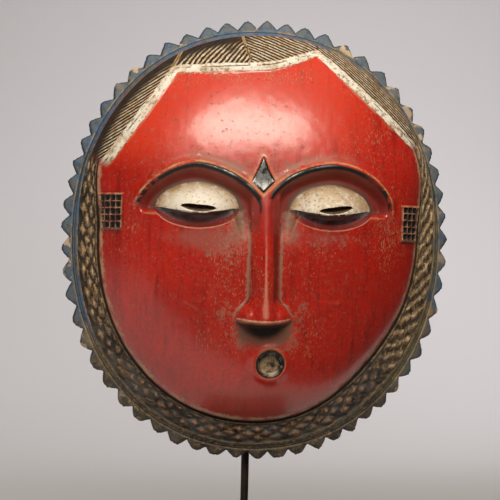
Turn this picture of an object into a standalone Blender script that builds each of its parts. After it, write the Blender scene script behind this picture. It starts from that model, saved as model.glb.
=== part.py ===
"""Carved disc mask hung on its steel display stand: mask, bent rod and base plate.

Metres, +Z up, the mask looks along -Y, the origin is on the floor under the middle.
The carving is designed on a grid of carving units, x to the viewer's right and z up
from the middle of the disc, with depth counted forward from the flat back. One unit
is a millimetre at the sizes below, and it stretches with the mask's three sizes.
"""
import math

import bmesh
import bpy
from mathutils import Matrix, Vector

# driving sizes, metres
MASK_HEIGHT = 0.280
MASK_WIDTH = 0.2472
MASK_DEPTH = 0.0845
TOOTH_COUNT = 59
FIRST_TOOTH_BEARING = 2.0
TOOTH_DRIFTS = ((1.2, 2, 175), (0.5, 5, 0), (0.45, 3, -54))
TOOTH_LENGTH = 0.0062
RIM_THICKNESS = 0.0115
WALL = 0.009
SLIT_WIDTH = 0.0215
SLIT_HEIGHT = 0.0036
MOUTH_DIAMETER = 0.0168
MOUTH_DEPTH = 0.0065
ROD_DIAMETER = 0.005
ROD_X = -0.0024
ROD_BEND_RADIUS = 0.011
ROD_ARM_REACH = 0.010
BASE_WIDTH = 0.130
BASE_DEPTH = 0.130
BASE_HEIGHT = 0.010
BASE_CHAMFER = 0.0008
SOCKET_DEPTH = 0.007
MASK_LIFT = 0.085
GAP = 0.0003
CUT_MARGIN = 0.004
MASK_BACK_Y = 0.030

# the mask's place, worked out from the sizes above
MASK_MIDDLE_Z = BASE_HEIGHT + MASK_LIFT + MASK_HEIGHT / 2

# the carving grid: half sizes in units, and a unit's length along each axis
HALF_WIDTH = 123.6
HALF_HEIGHT = 140.0
FULL_DEPTH = 84.5
UNIT_X = MASK_WIDTH / (2 * HALF_WIDTH)
UNIT_Z = MASK_HEIGHT / (2 * HALF_HEIGHT)
UNIT_DEPTH = MASK_DEPTH / FULL_DEPTH

# rim lines, as shares of the distance from the middle to the tooth tips
OUTLINE_POWER = 2.1
TOOTH_ROOT = 1 - TOOTH_LENGTH / (MASK_WIDTH / 2)
BLUE_BAND_OUTER = TOOTH_ROOT - 0.006
RIM_FRONT = 14.5
TOOTH_CLIP = 0.0016

# lines of the border, as shares of the way from the face's edge to the tooth roots
GROOVE_AT = 0.08
INNER_RIDGE_AT = 0.125
LOZENGES_FROM = 0.165
LOZENGES_TO = 0.735
OUTER_RIDGE_AT = 0.765
BLUE_BAND_TO = 0.96
GROOVE_DEPTH = 1.5
BORDER_RIDGE = 0.6
LOZENGE_FLOOR = 0.8

# dome of the face
FACE_SHARE = 0.805
FACE_WIDER_ABOVE = 0.075
FACE_WIDENS_FROM = 0.03
FACE_WIDENS_TO = 0.46
FACE_FLATTER_RIGHT = 0.045
FLATTER_BEARING = 317
FLATTER_REACH = 26
FACE_EDGE_DEPTH = 28.0
DOME_RISE = 36.0
DOME_POWER = 2.3
DOME_ROUNDNESS = 0.62
FOREHEAD_RISE = 2.5
FOREHEAD_Z = 62.0
FOREHEAD_REACH_X = 55.0
FOREHEAD_REACH_Z = 36.0
HAIR_ROLL = 1.25

# features, in units on the carving grid
MIDLINE_X = 0.0
EYE_X = 41.2
EYE_Z = 19.0
EYE_HALF_WIDTH = 25.8
LID_HEIGHT = 16.2
LID_POWER = 1.7
LOWER_LID_HEIGHT = 12.0
BROW_FOOT_Z = 20.0
BROW_LEFT = {"apex": -43.0, "inner": 40.0, "outer": 34.5, "rise": 24.8, "power": 1.6}
BROW_RIGHT = {"apex": 43.0, "inner": 41.5, "outer": 35.8, "rise": 25.5, "power": 1.8}
BROW_REACH = 2.8
BROW_RIDGE = 3.0
SOCKET_DROP = 8.0
LID_BULGE = 13.0
SLIT_LEFT_X = -41.2
SLIT_RIGHT_X = 43.4
SLIT_LEAN = math.radians(22)
LOWER_LID_UNDERCUT = 1.6
NOSE_X = 0.0
NOSE_TOP_Z = 34.0
NOSE_BASE_Z = -49.2
NOSE_TIP_DROP = 1.8
NOSE_HALF_WIDTH = 8.9
NOSTRIL_HALF_WIDTH = 17.0
NOSTRIL_TOP_Z = -33.0
NOSTRIL_FULL_Z = -47.5
NOSE_HEIGHT = 15.5
NOSE_LOW_SHARE = 0.16
NOSE_SWEEP = 1.15
MARK_X = -2.0
MARK_Z = 36.0
MARK_HALF_WIDTH = 7.5
MARK_UP = 16.0
MARK_DOWN = 7.5
MARK_HEIGHT = 1.0
MOUTH_X = 5.6
MOUTH_Z = -76.0
MUZZLE_RISE = 2.0
MUZZLE_REACH = 24.0
LIP_HALF_WIDTH = 2.4
LIP_HEIGHT = 2.4
HAIRLINE_Z = 110.3
HAIRLINE_SLOPE_LEFT = 0.052
HAIRLINE_SLOPE_RIGHT = 0.16
HAIRLINE_CURVE_RIGHT = 0.0045
HAIRLINE_STEPS = 4
HAIRLINE_LEFT = (144.2, 108.5)
HAIRLINE_RIGHT = (47.8, 112.6)
FAR_OUT = 9.0
HAIR_BAND_WIDTH = 5.0
HAIR_BAND_HEIGHT = 1.5
HAIR_END_LEFT = 157.5
HAIR_END_RIGHT = 29.5
TEMPLE_HEIGHT = 3.0
TEMPLE_HALF_WIDTH = 6.5
TEMPLE_HALF_HEIGHT = 10.4
TEMPLE_LEFT = (-94.0, 16.0)
TEMPLE_RIGHT = (94.5, 12.5)
PIT_COLUMNS = 4
PIT_ROWS = 5
PIT_DEPTH = 1.6
PIT_MOUTH = 0.46
PIT_FLOOR = 0.26

# mesh density
GRID_CELLS = TOOTH_COUNT
LOZENGE_ROWS = 3
LOZENGE_HEIGHT = 2.6
HOLLOW_RINGS = 6
HOLLOW_DRAFT = 0.985
BEND_STEPS = 6
FACE_KEEP = 0.66


def ramp(value, start, end):
    """Smooth step from 0 at start to 1 at end."""
    share = (value - start) / (end - start)
    share = max(0.0, min(1.0, share))
    return share * share * (3 - 2 * share)


def bump(value, middle, half_width):
    """Bell of height 1 round middle."""
    return math.exp(-((value - middle) / half_width) ** 2)


def reach(x, z):
    """Share of the way from the middle to the tooth tips, and the bearing in degrees."""
    u, v = x / HALF_WIDTH, z / HALF_HEIGHT
    share = (abs(u) ** OUTLINE_POWER + abs(v) ** OUTLINE_POWER) ** (1 / OUTLINE_POWER)
    return share, math.degrees(math.atan2(v, u)) % 360


def at_reach(share, bearing):
    """Point on the carving grid at a share of the way out along a bearing."""
    c, s = math.cos(math.radians(bearing)), math.sin(math.radians(bearing))
    norm = (abs(c) ** OUTLINE_POWER + abs(s) ** OUTLINE_POWER) ** (1 / OUTLINE_POWER)
    return share * HALF_WIDTH * c / norm, share * HALF_HEIGHT * s / norm


def face_edge(bearing):
    """Share at which the red face ends: wider above, flattened at the lower right."""
    up = math.sin(math.radians(bearing))
    wider = FACE_WIDER_ABOVE * ramp(up, FACE_WIDENS_FROM, FACE_WIDENS_TO)
    turn = (bearing - FLATTER_BEARING + 180) % 360 - 180
    return FACE_SHARE + wider - FACE_FLATTER_RIGHT * bump(turn, 0, FLATTER_REACH)


def tooth_bearing(count):
    """Bearing of a tooth tip; the carver's spacing drifts a little round the rim."""
    even = math.radians(360 * count / TOOTH_COUNT)
    drift = sum(size * math.cos(waves * even + math.radians(turn)) for size, waves, turn in TOOTH_DRIFTS)
    return FIRST_TOOTH_BEARING + math.degrees(even) + drift


def hairline_scale(x, z):
    """Factor that brings a point along its ray onto the outer edge of the hairline."""
    if z <= 0:
        return FAR_OUT
    scale = 1.0
    for _ in range(HAIRLINE_STEPS):
        across = max(-HALF_WIDTH, min(HALF_WIDTH, x * scale))
        if across < 0:
            slope = HAIRLINE_SLOPE_LEFT * across
        else:
            slope = HAIRLINE_SLOPE_RIGHT * across + HAIRLINE_CURVE_RIGHT * across ** 2
        scale = (HAIRLINE_Z + slope) / z
    for bearing, away in (HAIRLINE_LEFT, HAIRLINE_RIGHT):
        outward = x * math.cos(math.radians(bearing)) + z * math.sin(math.radians(bearing))
        if outward > 0:
            scale = min(scale, away / outward)
    return scale


def in_hair_sector(bearing):
    """1 over the sector where the hair reaches the rim, 0 over the lozenge border."""
    return ramp(bearing, HAIR_END_RIGHT - 1.5, HAIR_END_RIGHT + 1.5) * ramp(
        bearing, HAIR_END_LEFT + 1.5, HAIR_END_LEFT - 1.5)


def dome(x, z):
    """Smooth swelling of the face, its border slope and the hair, without features."""
    share, bearing = reach(x, z)
    edge = face_edge(bearing)
    if share < edge:
        swell = (1 - (share / edge) ** DOME_POWER) ** DOME_ROUNDNESS
        depth = FACE_EDGE_DEPTH + DOME_RISE * swell
        rise = bump(x, 0, FOREHEAD_REACH_X) * bump(z, FOREHEAD_Z, FOREHEAD_REACH_Z)
        depth += FOREHEAD_RISE * rise * (1 - share / edge)
    else:
        slope = min(1.0, (share - edge) / (BLUE_BAND_OUTER - edge))
        depth = FACE_EDGE_DEPTH + (RIM_FRONT - FACE_EDGE_DEPTH) * slope
    return depth


def hair(x, z, depth):
    """Depth of the hair, which rolls from the hairline down to the rim."""
    share, bearing = reach(x, z)
    weight = in_hair_sector(bearing)
    scale = hairline_scale(x, z)
    if weight == 0 or scale >= 1:
        return depth
    start = dome(x * scale, z * scale)
    rim_scale = BLUE_BAND_OUTER / share
    roll = min(1.0, (1 - scale) / max(rim_scale - scale, 1e-6))
    rolled = start + (RIM_FRONT - start) * roll ** HAIR_ROLL
    return depth + weight * (rolled - depth)


def hair_band(x, z):
    """Raised white band along the hairline."""
    bearing = reach(x, z)[1]
    away = (hairline_scale(x, z) - 1) * math.hypot(x, z)
    inside = ramp(away, -0.8, 0.6) * ramp(away, HAIR_BAND_WIDTH + 0.8, HAIR_BAND_WIDTH - 0.8)
    return HAIR_BAND_HEIGHT * inside * in_hair_sector(bearing)


def brow_inside(x, z, apex, inner, outer, rise, power):
    """Distance below one brow's edge, an arch with its own width on each side."""
    across = x - apex
    half = inner if across * apex < 0 else outer
    run = abs(across) / half
    up = max(z - BROW_FOOT_Z, 0) / rise
    norm = max((run ** power + up ** power) ** (1 / power), 0.3)
    steep = math.hypot(run ** (power - 1) / half, up ** (power - 1) / rise) * norm ** (1 - power)
    return (1 - norm) / max(steep, 0.01)


def eye_and_brow(x, z):
    """Socket under the brow's edge, the lid's wedge and the undercut lower lid."""
    across = abs(abs(x - MIDLINE_X) - EYE_X) / EYE_HALF_WIDTH
    up = z - EYE_Z
    inside = brow_inside(x, z, **(BROW_LEFT if x < MIDLINE_X else BROW_RIGHT))
    drop = SOCKET_DROP * ramp(inside, 0, 7)
    lens = max(0.0, 1 - across ** LID_POWER)
    if up >= 0:
        ridge = BROW_RIDGE * bump(inside, -1.0, BROW_REACH) * ramp(up, -1, 6)
        lid = max(0.0, 1 - across ** LID_POWER - (up / LID_HEIGHT) ** LID_POWER)
        return ridge + LID_BULGE * lid - drop
    bottom = max(3.0, LOWER_LID_HEIGHT * math.sqrt(max(0.0, 1 - across ** 2)))
    fall = min(1.0, -up / bottom)
    under = -LOWER_LID_UNDERCUT * lens * ramp(fall, 0, 0.5) * ramp(fall, 1.05, 0.9)
    return (LID_BULGE * lens - drop) * (1 - ramp(fall, 0, 1)) ** 1.3 + under


def nose(x, z):
    """Long narrow nose with flared wings and an undercut base."""
    across = abs(x - NOSE_X)
    flare = ramp(z, NOSTRIL_TOP_Z, NOSTRIL_FULL_Z)
    half = NOSE_HALF_WIDTH + (NOSTRIL_HALF_WIDTH - NOSE_HALF_WIDTH) * flare
    down = max(0.0, min(1.0, (NOSE_TOP_Z - z) / (NOSE_TOP_Z - NOSE_BASE_Z)))
    tall = NOSE_HEIGHT * (NOSE_LOW_SHARE + (1 - NOSE_LOW_SHARE) * down ** NOSE_SWEEP)
    tall *= ramp(z, NOSE_TOP_Z + 4, NOSE_TOP_Z - 14)
    base = NOSE_BASE_Z - NOSE_TIP_DROP * (1 - (across / NOSTRIL_HALF_WIDTH) ** 2)
    return tall * max(0.0, 1 - (across / half) ** 1.8) * ramp(z, base - 3.0, base + 0.4)


def mouth(x, z):
    """Low muzzle and the round raised lip; the recess is cut afterwards."""
    away = math.hypot(x - MOUTH_X, z - MOUTH_Z)
    lip = LIP_HEIGHT * bump(away, MOUTH_DIAMETER / 2 / UNIT_X + 2.0, LIP_HALF_WIDTH)
    return lip + MUZZLE_RISE * bump(away, 0, MUZZLE_REACH)


def temples(x, z):
    """Raised blocks of scar marks beside the eyes, the right one set lower."""
    lift = 0.0
    for middle_x, middle_z in (TEMPLE_LEFT, TEMPLE_RIGHT):
        sides = ramp(abs(x - middle_x), TEMPLE_HALF_WIDTH + 1.2, TEMPLE_HALF_WIDTH)
        ends = ramp(abs(z - middle_z), TEMPLE_HALF_HEIGHT + 1.2, TEMPLE_HALF_HEIGHT)
        lift += TEMPLE_HEIGHT * sides * ends
    return lift


def forehead_mark(x, z):
    """Low kite between the brows."""
    side = abs(x - MARK_X) / MARK_HALF_WIDTH
    end = (z - MARK_Z) / MARK_UP if z > MARK_Z else (MARK_Z - z) / MARK_DOWN
    return MARK_HEIGHT * ramp(side + end, 1.15, 0.85)


def front(x, z):
    """Depth of the carved front over the face and hair."""
    share, bearing = reach(x, z)
    depth = hair(x, z, dome(x, z)) + hair_band(x, z)
    if share < face_edge(bearing):
        fade = ramp(share / face_edge(bearing), 1.0, 0.93)
        shape = eye_and_brow(x, z)
        lift = nose(x, z)
        if lift > 0:
            shape = max(shape, lift) if shape > 0 else max(shape + lift, lift * 0.9)
        depth += (shape + mouth(x, z) + forehead_mark(x, z)) * fade + temples(x, z)
    return depth


def hollow_edge(bearing):
    """Share at which the hollow's straight wall stands."""
    return face_edge(bearing) - WALL / (MASK_WIDTH / 2)


def hollow_floor(x, z):
    """Depth of the hollow, which leaves the wall even behind the eye sockets."""
    return dome(x, z) - SOCKET_DROP - WALL / UNIT_DEPTH


def place(x, z, depth):
    """Carving-grid point to the mask's own metres."""
    return Vector((x * UNIT_X, -depth * UNIT_DEPTH, z * UNIT_Z))


def grow(bm, ring, target):
    """Extrude the open ring of vertices outward or inward to target(index)."""
    count = len(ring)
    edges = [bm.edges.get((ring[i], ring[(i + 1) % count])) for i in range(count)]
    made = set(bmesh.ops.extrude_edge_only(bm, edges=edges)["geom"])
    fresh = []
    for old in ring:
        new = next(e.other_vert(old) for e in old.link_edges if e.other_vert(old) in made)
        fresh.append(new)
    for index, vert in enumerate(fresh):
        vert.co = target(index)
    return fresh


def halve(bm, ring):
    """Merge every second vertex of the ring into the one before it."""
    bmesh.ops.weld_verts(bm, targetmap={ring[i + 1]: ring[i] for i in range(0, len(ring), 2)})
    return ring[::2]


def face_grid(bm):
    """Square grid bent to the face's outline; returns its rim in order of bearing."""
    made = bmesh.ops.create_grid(bm, x_segments=GRID_CELLS, y_segments=GRID_CELLS, size=1)
    rim = []
    for vert in made["verts"]:
        u, v = vert.co.x, vert.co.y
        out = max(abs(u), abs(v))
        if out == 0:
            bearing = 0.0
        elif abs(u) >= abs(v):
            bearing = 45 * v / u + (0 if u > 0 else 180)
        else:
            bearing = 90 - 45 * u / v + (0 if v > 0 else 180)
        edge = 0.83 + (face_edge(bearing % 360) - 0.83) * out ** 2
        x, z = at_reach(out * edge, bearing)
        vert.co = place(x, z, front(x, z))
        if out > 1 - 1e-5:
            rim.append((round((bearing - 45) % 360, 4) % 360, vert))
    rim.sort(key=lambda item: item[0])
    return [vert for _, vert in rim]


def border(bm, ring):
    """Grooved edge, lozenge band, blue band and teeth, ring after ring."""
    turn = 360 / len(ring)

    def at(index, step, share_out, lift, twist):
        plain = 45 + index * step * turn
        wanted = tooth_bearing(index * step / 4 + 7)
        bearing = plain + (wanted - plain) * twist
        edge = face_edge(bearing % 360)
        share = edge + (TOOTH_ROOT - edge) * share_out
        x, z = at_reach(share, bearing)
        weight = 1 - in_hair_sector(bearing % 360)
        depth = hair(x, z, dome(x, z)) + hair_band(x, z) + lift * weight
        return place(x, z, depth)

    ring = grow(bm, ring, lambda i: at(i, 1, GROOVE_AT, -GROOVE_DEPTH, 0.0))
    ring = halve(bm, ring)
    ring = grow(bm, ring, lambda i: at(i, 2, INNER_RIDGE_AT, BORDER_RIDGE, 0.1))
    ring = grow(bm, ring, lambda i: at(i, 2, LOZENGES_FROM, -LOZENGE_FLOOR, 0.2))
    steps = LOZENGE_ROWS + 1
    nodes = [ring]
    for row in range(1, steps + 1):
        out = LOZENGES_FROM + (LOZENGES_TO - LOZENGES_FROM) * row / steps
        inner = row < steps

        def lozenge(i, out=out, row=row, inner=inner):
            apex = inner and (i + row) % 2 == 1
            lift = LOZENGE_HEIGHT if apex else -LOZENGE_FLOOR
            return at(i, 2, out, lift, 0.2 + 0.6 * row / steps)

        ring = grow(bm, ring, lozenge)
        nodes.append(ring)
    low = [v for row, line in enumerate(nodes) for i, v in enumerate(line) if (i + row) % 2 == 0]
    bmesh.ops.connect_verts(bm, verts=low)
    ring = grow(bm, ring, lambda i: at(i, 2, OUTER_RIDGE_AT, BORDER_RIDGE, 0.9))
    ring = grow(bm, ring, lambda i: at(i, 2, BLUE_BAND_TO, 0, 1.0))
    return ring


def teeth(bm, ring):
    """Fringe of teeth: every other vertex a root, the rest tips, then the edge to the back."""

    def outline(index, depth_share):
        bearing = tooth_bearing(index / 2 + 7)
        share = 1.0 if index % 2 == 0 else TOOTH_ROOT
        x, z = at_reach(share, bearing)
        front_depth = RIM_THICKNESS / UNIT_DEPTH
        if index % 2 == 1:
            front_depth = RIM_FRONT
        return place(x, z, front_depth * depth_share)

    ring = grow(bm, ring, lambda i: outline(i, 1.0))
    tips = ring[0::2]
    ring = grow(bm, ring, lambda i: outline(i, 0.0))
    back_tips = ring[0::2]
    return ring, list(zip(tips, back_tips))


def back(bm, ring):
    """Flat back rim and the hollow behind the face, closed at its deepest point."""
    def rim_point(index):
        bearing = tooth_bearing(index / 2 + 7)
        x, z = at_reach(TOOTH_ROOT - 0.02, bearing)
        return place(x, z, 0)

    ring = grow(bm, ring, rim_point)
    ring = halve(bm, ring)

    def hollow(index, inward, depth_of):
        bearing = tooth_bearing(index + 7)
        x, z = at_reach(hollow_edge(bearing % 360) * inward, bearing)
        return place(x, z, depth_of(x, z))

    ring = grow(bm, ring, lambda i: hollow(i, 1.0, lambda x, z: 0))
    ring = grow(bm, ring, lambda i: hollow(i, HOLLOW_DRAFT, hollow_floor))
    for step in range(1, HOLLOW_RINGS):
        inward = HOLLOW_DRAFT * (1 - step / HOLLOW_RINGS) ** 0.8
        ring = grow(bm, ring, lambda i, inward=inward: hollow(i, inward, hollow_floor))
    count = len(ring)
    edges = [bm.edges.get((ring[i], ring[(i + 1) % count])) for i in range(count)]
    cap = bmesh.ops.contextual_create(bm, geom=edges)["faces"]
    bmesh.ops.poke(bm, faces=cap)


def material(name, colour, rough, metal):
    """Principled material of one plain colour."""
    made = bpy.data.materials.new(name)
    made.use_nodes = True
    shader = made.node_tree.nodes["Principled BSDF"]
    shader.inputs["Base Color"].default_value = (*colour, 1)
    shader.inputs["Roughness"].default_value = rough
    shader.inputs["Metallic"].default_value = metal
    return made


def add_object(name, bm, location, look):
    """Mesh object from a bmesh, in the scene, with its material."""
    bmesh.ops.recalc_face_normals(bm, faces=bm.faces)
    mesh = bpy.data.meshes.new(name)
    bm.to_mesh(mesh)
    bm.free()
    made = bpy.data.objects.new(name, mesh)
    made.location = location
    bpy.context.scene.collection.objects.link(made)
    if look:
        mesh.materials.append(look)
    return made


def cut(target, cutter):
    """Boolean difference with a hidden cutter."""
    cutter.hide_render = True
    cutter.display_type = "WIRE"
    modifier = target.modifiers.new(cutter.name, "BOOLEAN")
    modifier.operation = "DIFFERENCE"
    modifier.solver = "EXACT"
    modifier.object = cutter


def slit_cutter(name, x, z, middle):
    """Slanted eye slit, from in front of the lid into the hollow."""
    depth = (NOSE_HEIGHT + SOCKET_DROP) * UNIT_DEPTH + 2 * WALL + 2 * CUT_MARGIN
    bm = bmesh.new()
    made = bmesh.ops.create_cone(bm, cap_ends=True, segments=16, radius1=0.5, radius2=0.5, depth=depth)
    bmesh.ops.scale(bm, vec=(SLIT_WIDTH, SLIT_HEIGHT, 1), verts=made["verts"])
    turn = Matrix.Rotation(math.radians(90), 3, "X")
    bmesh.ops.rotate(bm, cent=(0, 0, 0), matrix=turn, verts=made["verts"])
    lean = math.tan(SLIT_LEAN)
    for vert in made["verts"]:
        vert.co.z += vert.co.y * lean
    front_y = -(dome(x, z) + LID_BULGE - SOCKET_DROP) * UNIT_DEPTH
    inner = middle + Vector((x * UNIT_X, front_y + depth / 2 - CUT_MARGIN, z * UNIT_Z))
    inner.z += (depth / 2 - CUT_MARGIN) * lean
    return add_object(name, bm, inner, None)


def mouth_cutter(middle):
    """Round recess of the mouth, a little wider at the lip than at its floor."""
    length = MOUTH_DEPTH + CUT_MARGIN
    wide = MOUTH_DIAMETER / 2
    bm = bmesh.new()
    made = bmesh.ops.create_cone(
        bm, cap_ends=True, segments=24, radius1=wide * 1.12, radius2=wide * 0.72, depth=length)
    turn = Matrix.Rotation(math.radians(-90), 3, "X")
    bmesh.ops.rotate(bm, cent=(0, 0, 0), matrix=turn, verts=made["verts"])
    face = front(MOUTH_X, MOUTH_Z) * UNIT_DEPTH
    spot = middle + Vector((MOUTH_X * UNIT_X, -face + MOUTH_DEPTH - length / 2, MOUTH_Z * UNIT_Z))
    return add_object("mouth_cutter", bm, spot, None)


def pit_cutter(name, block, middle):
    """Rows of square pits in a temple block, each sunk from the carved front."""
    bm = bmesh.new()
    step_x = 2 * TEMPLE_HALF_WIDTH / PIT_COLUMNS
    step_z = 2 * TEMPLE_HALF_HEIGHT / PIT_ROWS
    for column in range(PIT_COLUMNS):
        for row in range(PIT_ROWS):
            x = block[0] + (column + 0.5) * step_x - TEMPLE_HALF_WIDTH
            z = block[1] + (row + 0.5) * step_z - TEMPLE_HALF_HEIGHT
            surface = front(x, z)
            for vert in bmesh.ops.create_cube(bm, size=1)["verts"]:
                outer = vert.co.z > 0
                half = PIT_MOUTH if outer else PIT_FLOOR
                depth = surface + (3 * PIT_DEPTH if outer else -PIT_DEPTH)
                vert.co = place(x + 2 * half * vert.co.x * step_x, z + 2 * half * vert.co.y * step_z, depth)
    return add_object(name, bm, middle, None)


def build_mask():
    """The carved mask: one hollow piece of wood."""
    middle = Vector((0, MASK_BACK_Y, MASK_MIDDLE_Z))
    bm = bmesh.new()
    ring = face_grid(bm)
    inner = [v.index for v in bm.verts]
    rim_indices = {v.index for v in ring}
    ring = border(bm, ring)
    ring, tip_pairs = teeth(bm, ring)
    back(bm, ring)
    tip_edges = [bm.edges.get(pair) for pair in tip_pairs]
    bmesh.ops.bevel(bm, geom=tip_edges, offset=TOOTH_CLIP, segments=1, profile=0.5,
                    affect="EDGES", material=-1)
    mask = add_object("mask", bm, middle, material("red_lacquered_wood", (0.52, 0.03, 0.015), 0.38, 0))
    face = mask.vertex_groups.new(name="face")
    face.add([i for i in inner if i not in rim_indices], 1.0, "REPLACE")
    thin = mask.modifiers.new("fewer_triangles", "DECIMATE")
    thin.decimate_type = "COLLAPSE"
    thin.ratio = FACE_KEEP
    thin.vertex_group = "face"
    for side, x, block in (("left", SLIT_LEFT_X, TEMPLE_LEFT), ("right", SLIT_RIGHT_X, TEMPLE_RIGHT)):
        cut(mask, slit_cutter("slit_cutter_" + side, x, EYE_Z, middle))
        cut(mask, pit_cutter("pit_cutter_" + side, block, middle))
    cut(mask, mouth_cutter(middle))
    return mask


def build_rod():
    """Steel rod from the base up behind the mask, bent forward under its crown."""
    radius = ROD_DIAMETER / 2
    rod_y = MASK_BACK_Y + GAP + radius
    bottom = BASE_HEIGHT - SOCKET_DEPTH + GAP
    crown_share = hollow_edge(90) * HOLLOW_DRAFT
    crown = at_reach(crown_share, 90)[1] * UNIT_Z
    arm_z = MASK_MIDDLE_Z + crown - GAP - radius
    bend = ROD_BEND_RADIUS
    points = [(rod_y, bottom), (rod_y, arm_z - bend)]
    for step in range(1, BEND_STEPS + 1):
        angle = math.radians(90 * step / BEND_STEPS)
        points.append((rod_y - bend * (1 - math.cos(angle)), arm_z - bend + bend * math.sin(angle)))
    points.append((rod_y - bend - ROD_ARM_REACH, arm_z))
    curve = bpy.data.curves.new("stand_rod", "CURVE")
    curve.dimensions = "3D"
    curve.bevel_depth = radius
    curve.bevel_resolution = 4
    curve.use_fill_caps = True
    spline = curve.splines.new("POLY")
    spline.points.add(len(points) - 1)
    for point, (y, z) in zip(spline.points, points):
        point.co = (0, y, z, 1)
    rod = bpy.data.objects.new("stand_rod", curve)
    rod.location = (ROD_X, 0, 0)
    bpy.context.scene.collection.objects.link(rod)
    curve.materials.append(material("dark_rod_steel", (0.03, 0.026, 0.023), 0.45, 0.9))
    return rod


def build_base():
    """Flat steel foot with chamfered edges and a socket for the rod."""
    bm = bmesh.new()
    made = bmesh.ops.create_cube(bm, size=1)
    bmesh.ops.scale(bm, vec=(BASE_WIDTH, BASE_DEPTH, BASE_HEIGHT), verts=made["verts"])
    bmesh.ops.bevel(bm, geom=bm.edges[:], offset=BASE_CHAMFER, segments=1, profile=0.5,
                    affect="EDGES", material=-1)
    look = material("dark_base_steel", (0.03, 0.028, 0.026), 0.5, 0.85)
    base = add_object("stand_base", bm, (0, 0, BASE_HEIGHT / 2), look)
    bm = bmesh.new()
    hole = SOCKET_DEPTH + CUT_MARGIN
    bmesh.ops.create_cone(bm, cap_ends=True, segments=24, radius1=ROD_DIAMETER / 2 + GAP,
                          radius2=ROD_DIAMETER / 2 + GAP, depth=hole)
    rod_y = MASK_BACK_Y + GAP + ROD_DIAMETER / 2
    spot = (ROD_X, rod_y, BASE_HEIGHT - SOCKET_DEPTH + hole / 2)
    cut(base, add_object("socket_cutter", bm, spot, None))
    return base


def main():
    """Clear the scene and build the three pieces."""
    for old in list(bpy.data.objects):
        bpy.data.objects.remove(old, do_unlink=True)
    build_mask()
    build_rod()
    build_base()


main()
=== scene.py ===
"""Looks of the carved and painted disc mask on its display stand.

Metres, +Z up; the mask looks along -Y. The carving is worked out on a grid of carving
units, millimetres at this size: x to the viewer's right and z up from the middle of
the disc, with depth counted forward from the flat back.
"""
import math

import bmesh
import bpy
import numpy as np
from bpy.props import FloatProperty, FloatVectorProperty, IntProperty, PointerProperty
from mathutils import Matrix, Vector, noise


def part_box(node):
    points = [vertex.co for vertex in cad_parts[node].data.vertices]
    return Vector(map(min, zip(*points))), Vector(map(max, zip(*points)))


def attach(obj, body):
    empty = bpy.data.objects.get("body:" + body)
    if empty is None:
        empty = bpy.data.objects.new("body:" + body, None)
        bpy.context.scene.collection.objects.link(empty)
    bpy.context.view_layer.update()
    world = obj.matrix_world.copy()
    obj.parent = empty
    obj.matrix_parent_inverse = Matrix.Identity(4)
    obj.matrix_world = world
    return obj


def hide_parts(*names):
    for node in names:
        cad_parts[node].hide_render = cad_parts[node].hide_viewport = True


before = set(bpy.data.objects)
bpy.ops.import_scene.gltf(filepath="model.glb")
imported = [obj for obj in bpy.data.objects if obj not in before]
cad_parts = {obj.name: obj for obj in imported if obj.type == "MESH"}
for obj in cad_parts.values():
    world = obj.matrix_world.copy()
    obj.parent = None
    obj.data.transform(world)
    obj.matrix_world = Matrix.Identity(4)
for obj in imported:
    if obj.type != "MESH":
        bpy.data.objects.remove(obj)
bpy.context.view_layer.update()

bl_info = {
    "name": "Carved disc mask on its stand",
    "version": (1, 0, 0),
    "blender": (4, 5, 0),
    "location": "3D View > Sidebar > Mask",
    "description": "Builds the painted disc mask, its rod and base, and a plain studio",
    "category": "Add Mesh",
}

# the places of the mask, rod and base, from the frame
UNIT = 0.001
MASK_HIGH = Vector(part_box("mask")[1])
ROD_LOW, ROD_HIGH = (Vector(corner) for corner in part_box("stand_rod"))
BASE_LOW, BASE_HIGH = (Vector(corner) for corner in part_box("stand_base"))
MASK_BACK_Y = MASK_HIGH.y
ROD_RADIUS = (ROD_HIGH.x - ROD_LOW.x) / 2
ROD_X = (ROD_HIGH.x + ROD_LOW.x) / 2
ROD_Y = ROD_HIGH.y - ROD_RADIUS
ROD_SHOWN = 0.085

# outline of the disc
HALF_WIDTH = 123.6
HALF_HEIGHT = 140.0
MASK_MIDDLE_Z = BASE_HIGH.z + ROD_SHOWN + HALF_HEIGHT * UNIT
OUTLINE_POWER = 2.1
TEETH = 59
TOOTH_LENGTH = 6.2
TOOTH_ROOT = 1 - TOOTH_LENGTH / HALF_WIDTH
BLUE_BAND_OUTER = TOOTH_ROOT - 0.006
RIM_BAND_WIDTH = 3.5
RIM_FRONT = 14.5
RIM_TIP = 11.5
WALL = 9.0

# single teeth; the drift of their spacing is given as size, waves round the disc and lead,
# and an arc as where it starts and ends and how soft its ends are, in degrees
FIRST_TOOTH_BEARING = 2.0
TOOTH_DRIFT = ((1.2, 2, 175), (0.5, 5, 0), (0.45, 3, -54))
TOOTH_SHIFT = 0.10
TOOTH_TOP = 0.02
TOOTH_BLUNTNESS = 0.10
TOOTH_WEAR = 0.16
TOOTH_SLANT = 0.5
TOOTH_EDGE_DROP = 1.2
TOOTH_EDGE_WIDTH = 1.3
WORN_TEETH = (215, 318, 12)
NOTCH_LEFT = 0.12
LOBE_SWELL = 0.16
KNIFE_MARK = 0.09
KNIFE_MARKS_PER_TOOTH = 21.0

# lines of the border, as shares of the way from the face's edge to the tooth roots
GROOVE_AT = 0.08
INNER_RIDGE_AT = 0.125
LOZENGES_FROM = 0.165
LOZENGES_TO = 0.735
OUTER_RIDGE_AT = 0.765
LOZENGE_ROWS = 3
LOZENGE_HEIGHT = 2.9
LOZENGE_BED_DEPTH = 0.9
SLANTING_ARC = (318, 40, 10)
SCALE_SPACING = 0.65
SCALE_SLANT = 0.44
SCALE_CROSSING = 0.5
SCALE_RISE = 0.7
SCALE_NECK = 0.55
SCALE_NECK_HALF_WIDTH = 0.12

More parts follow.
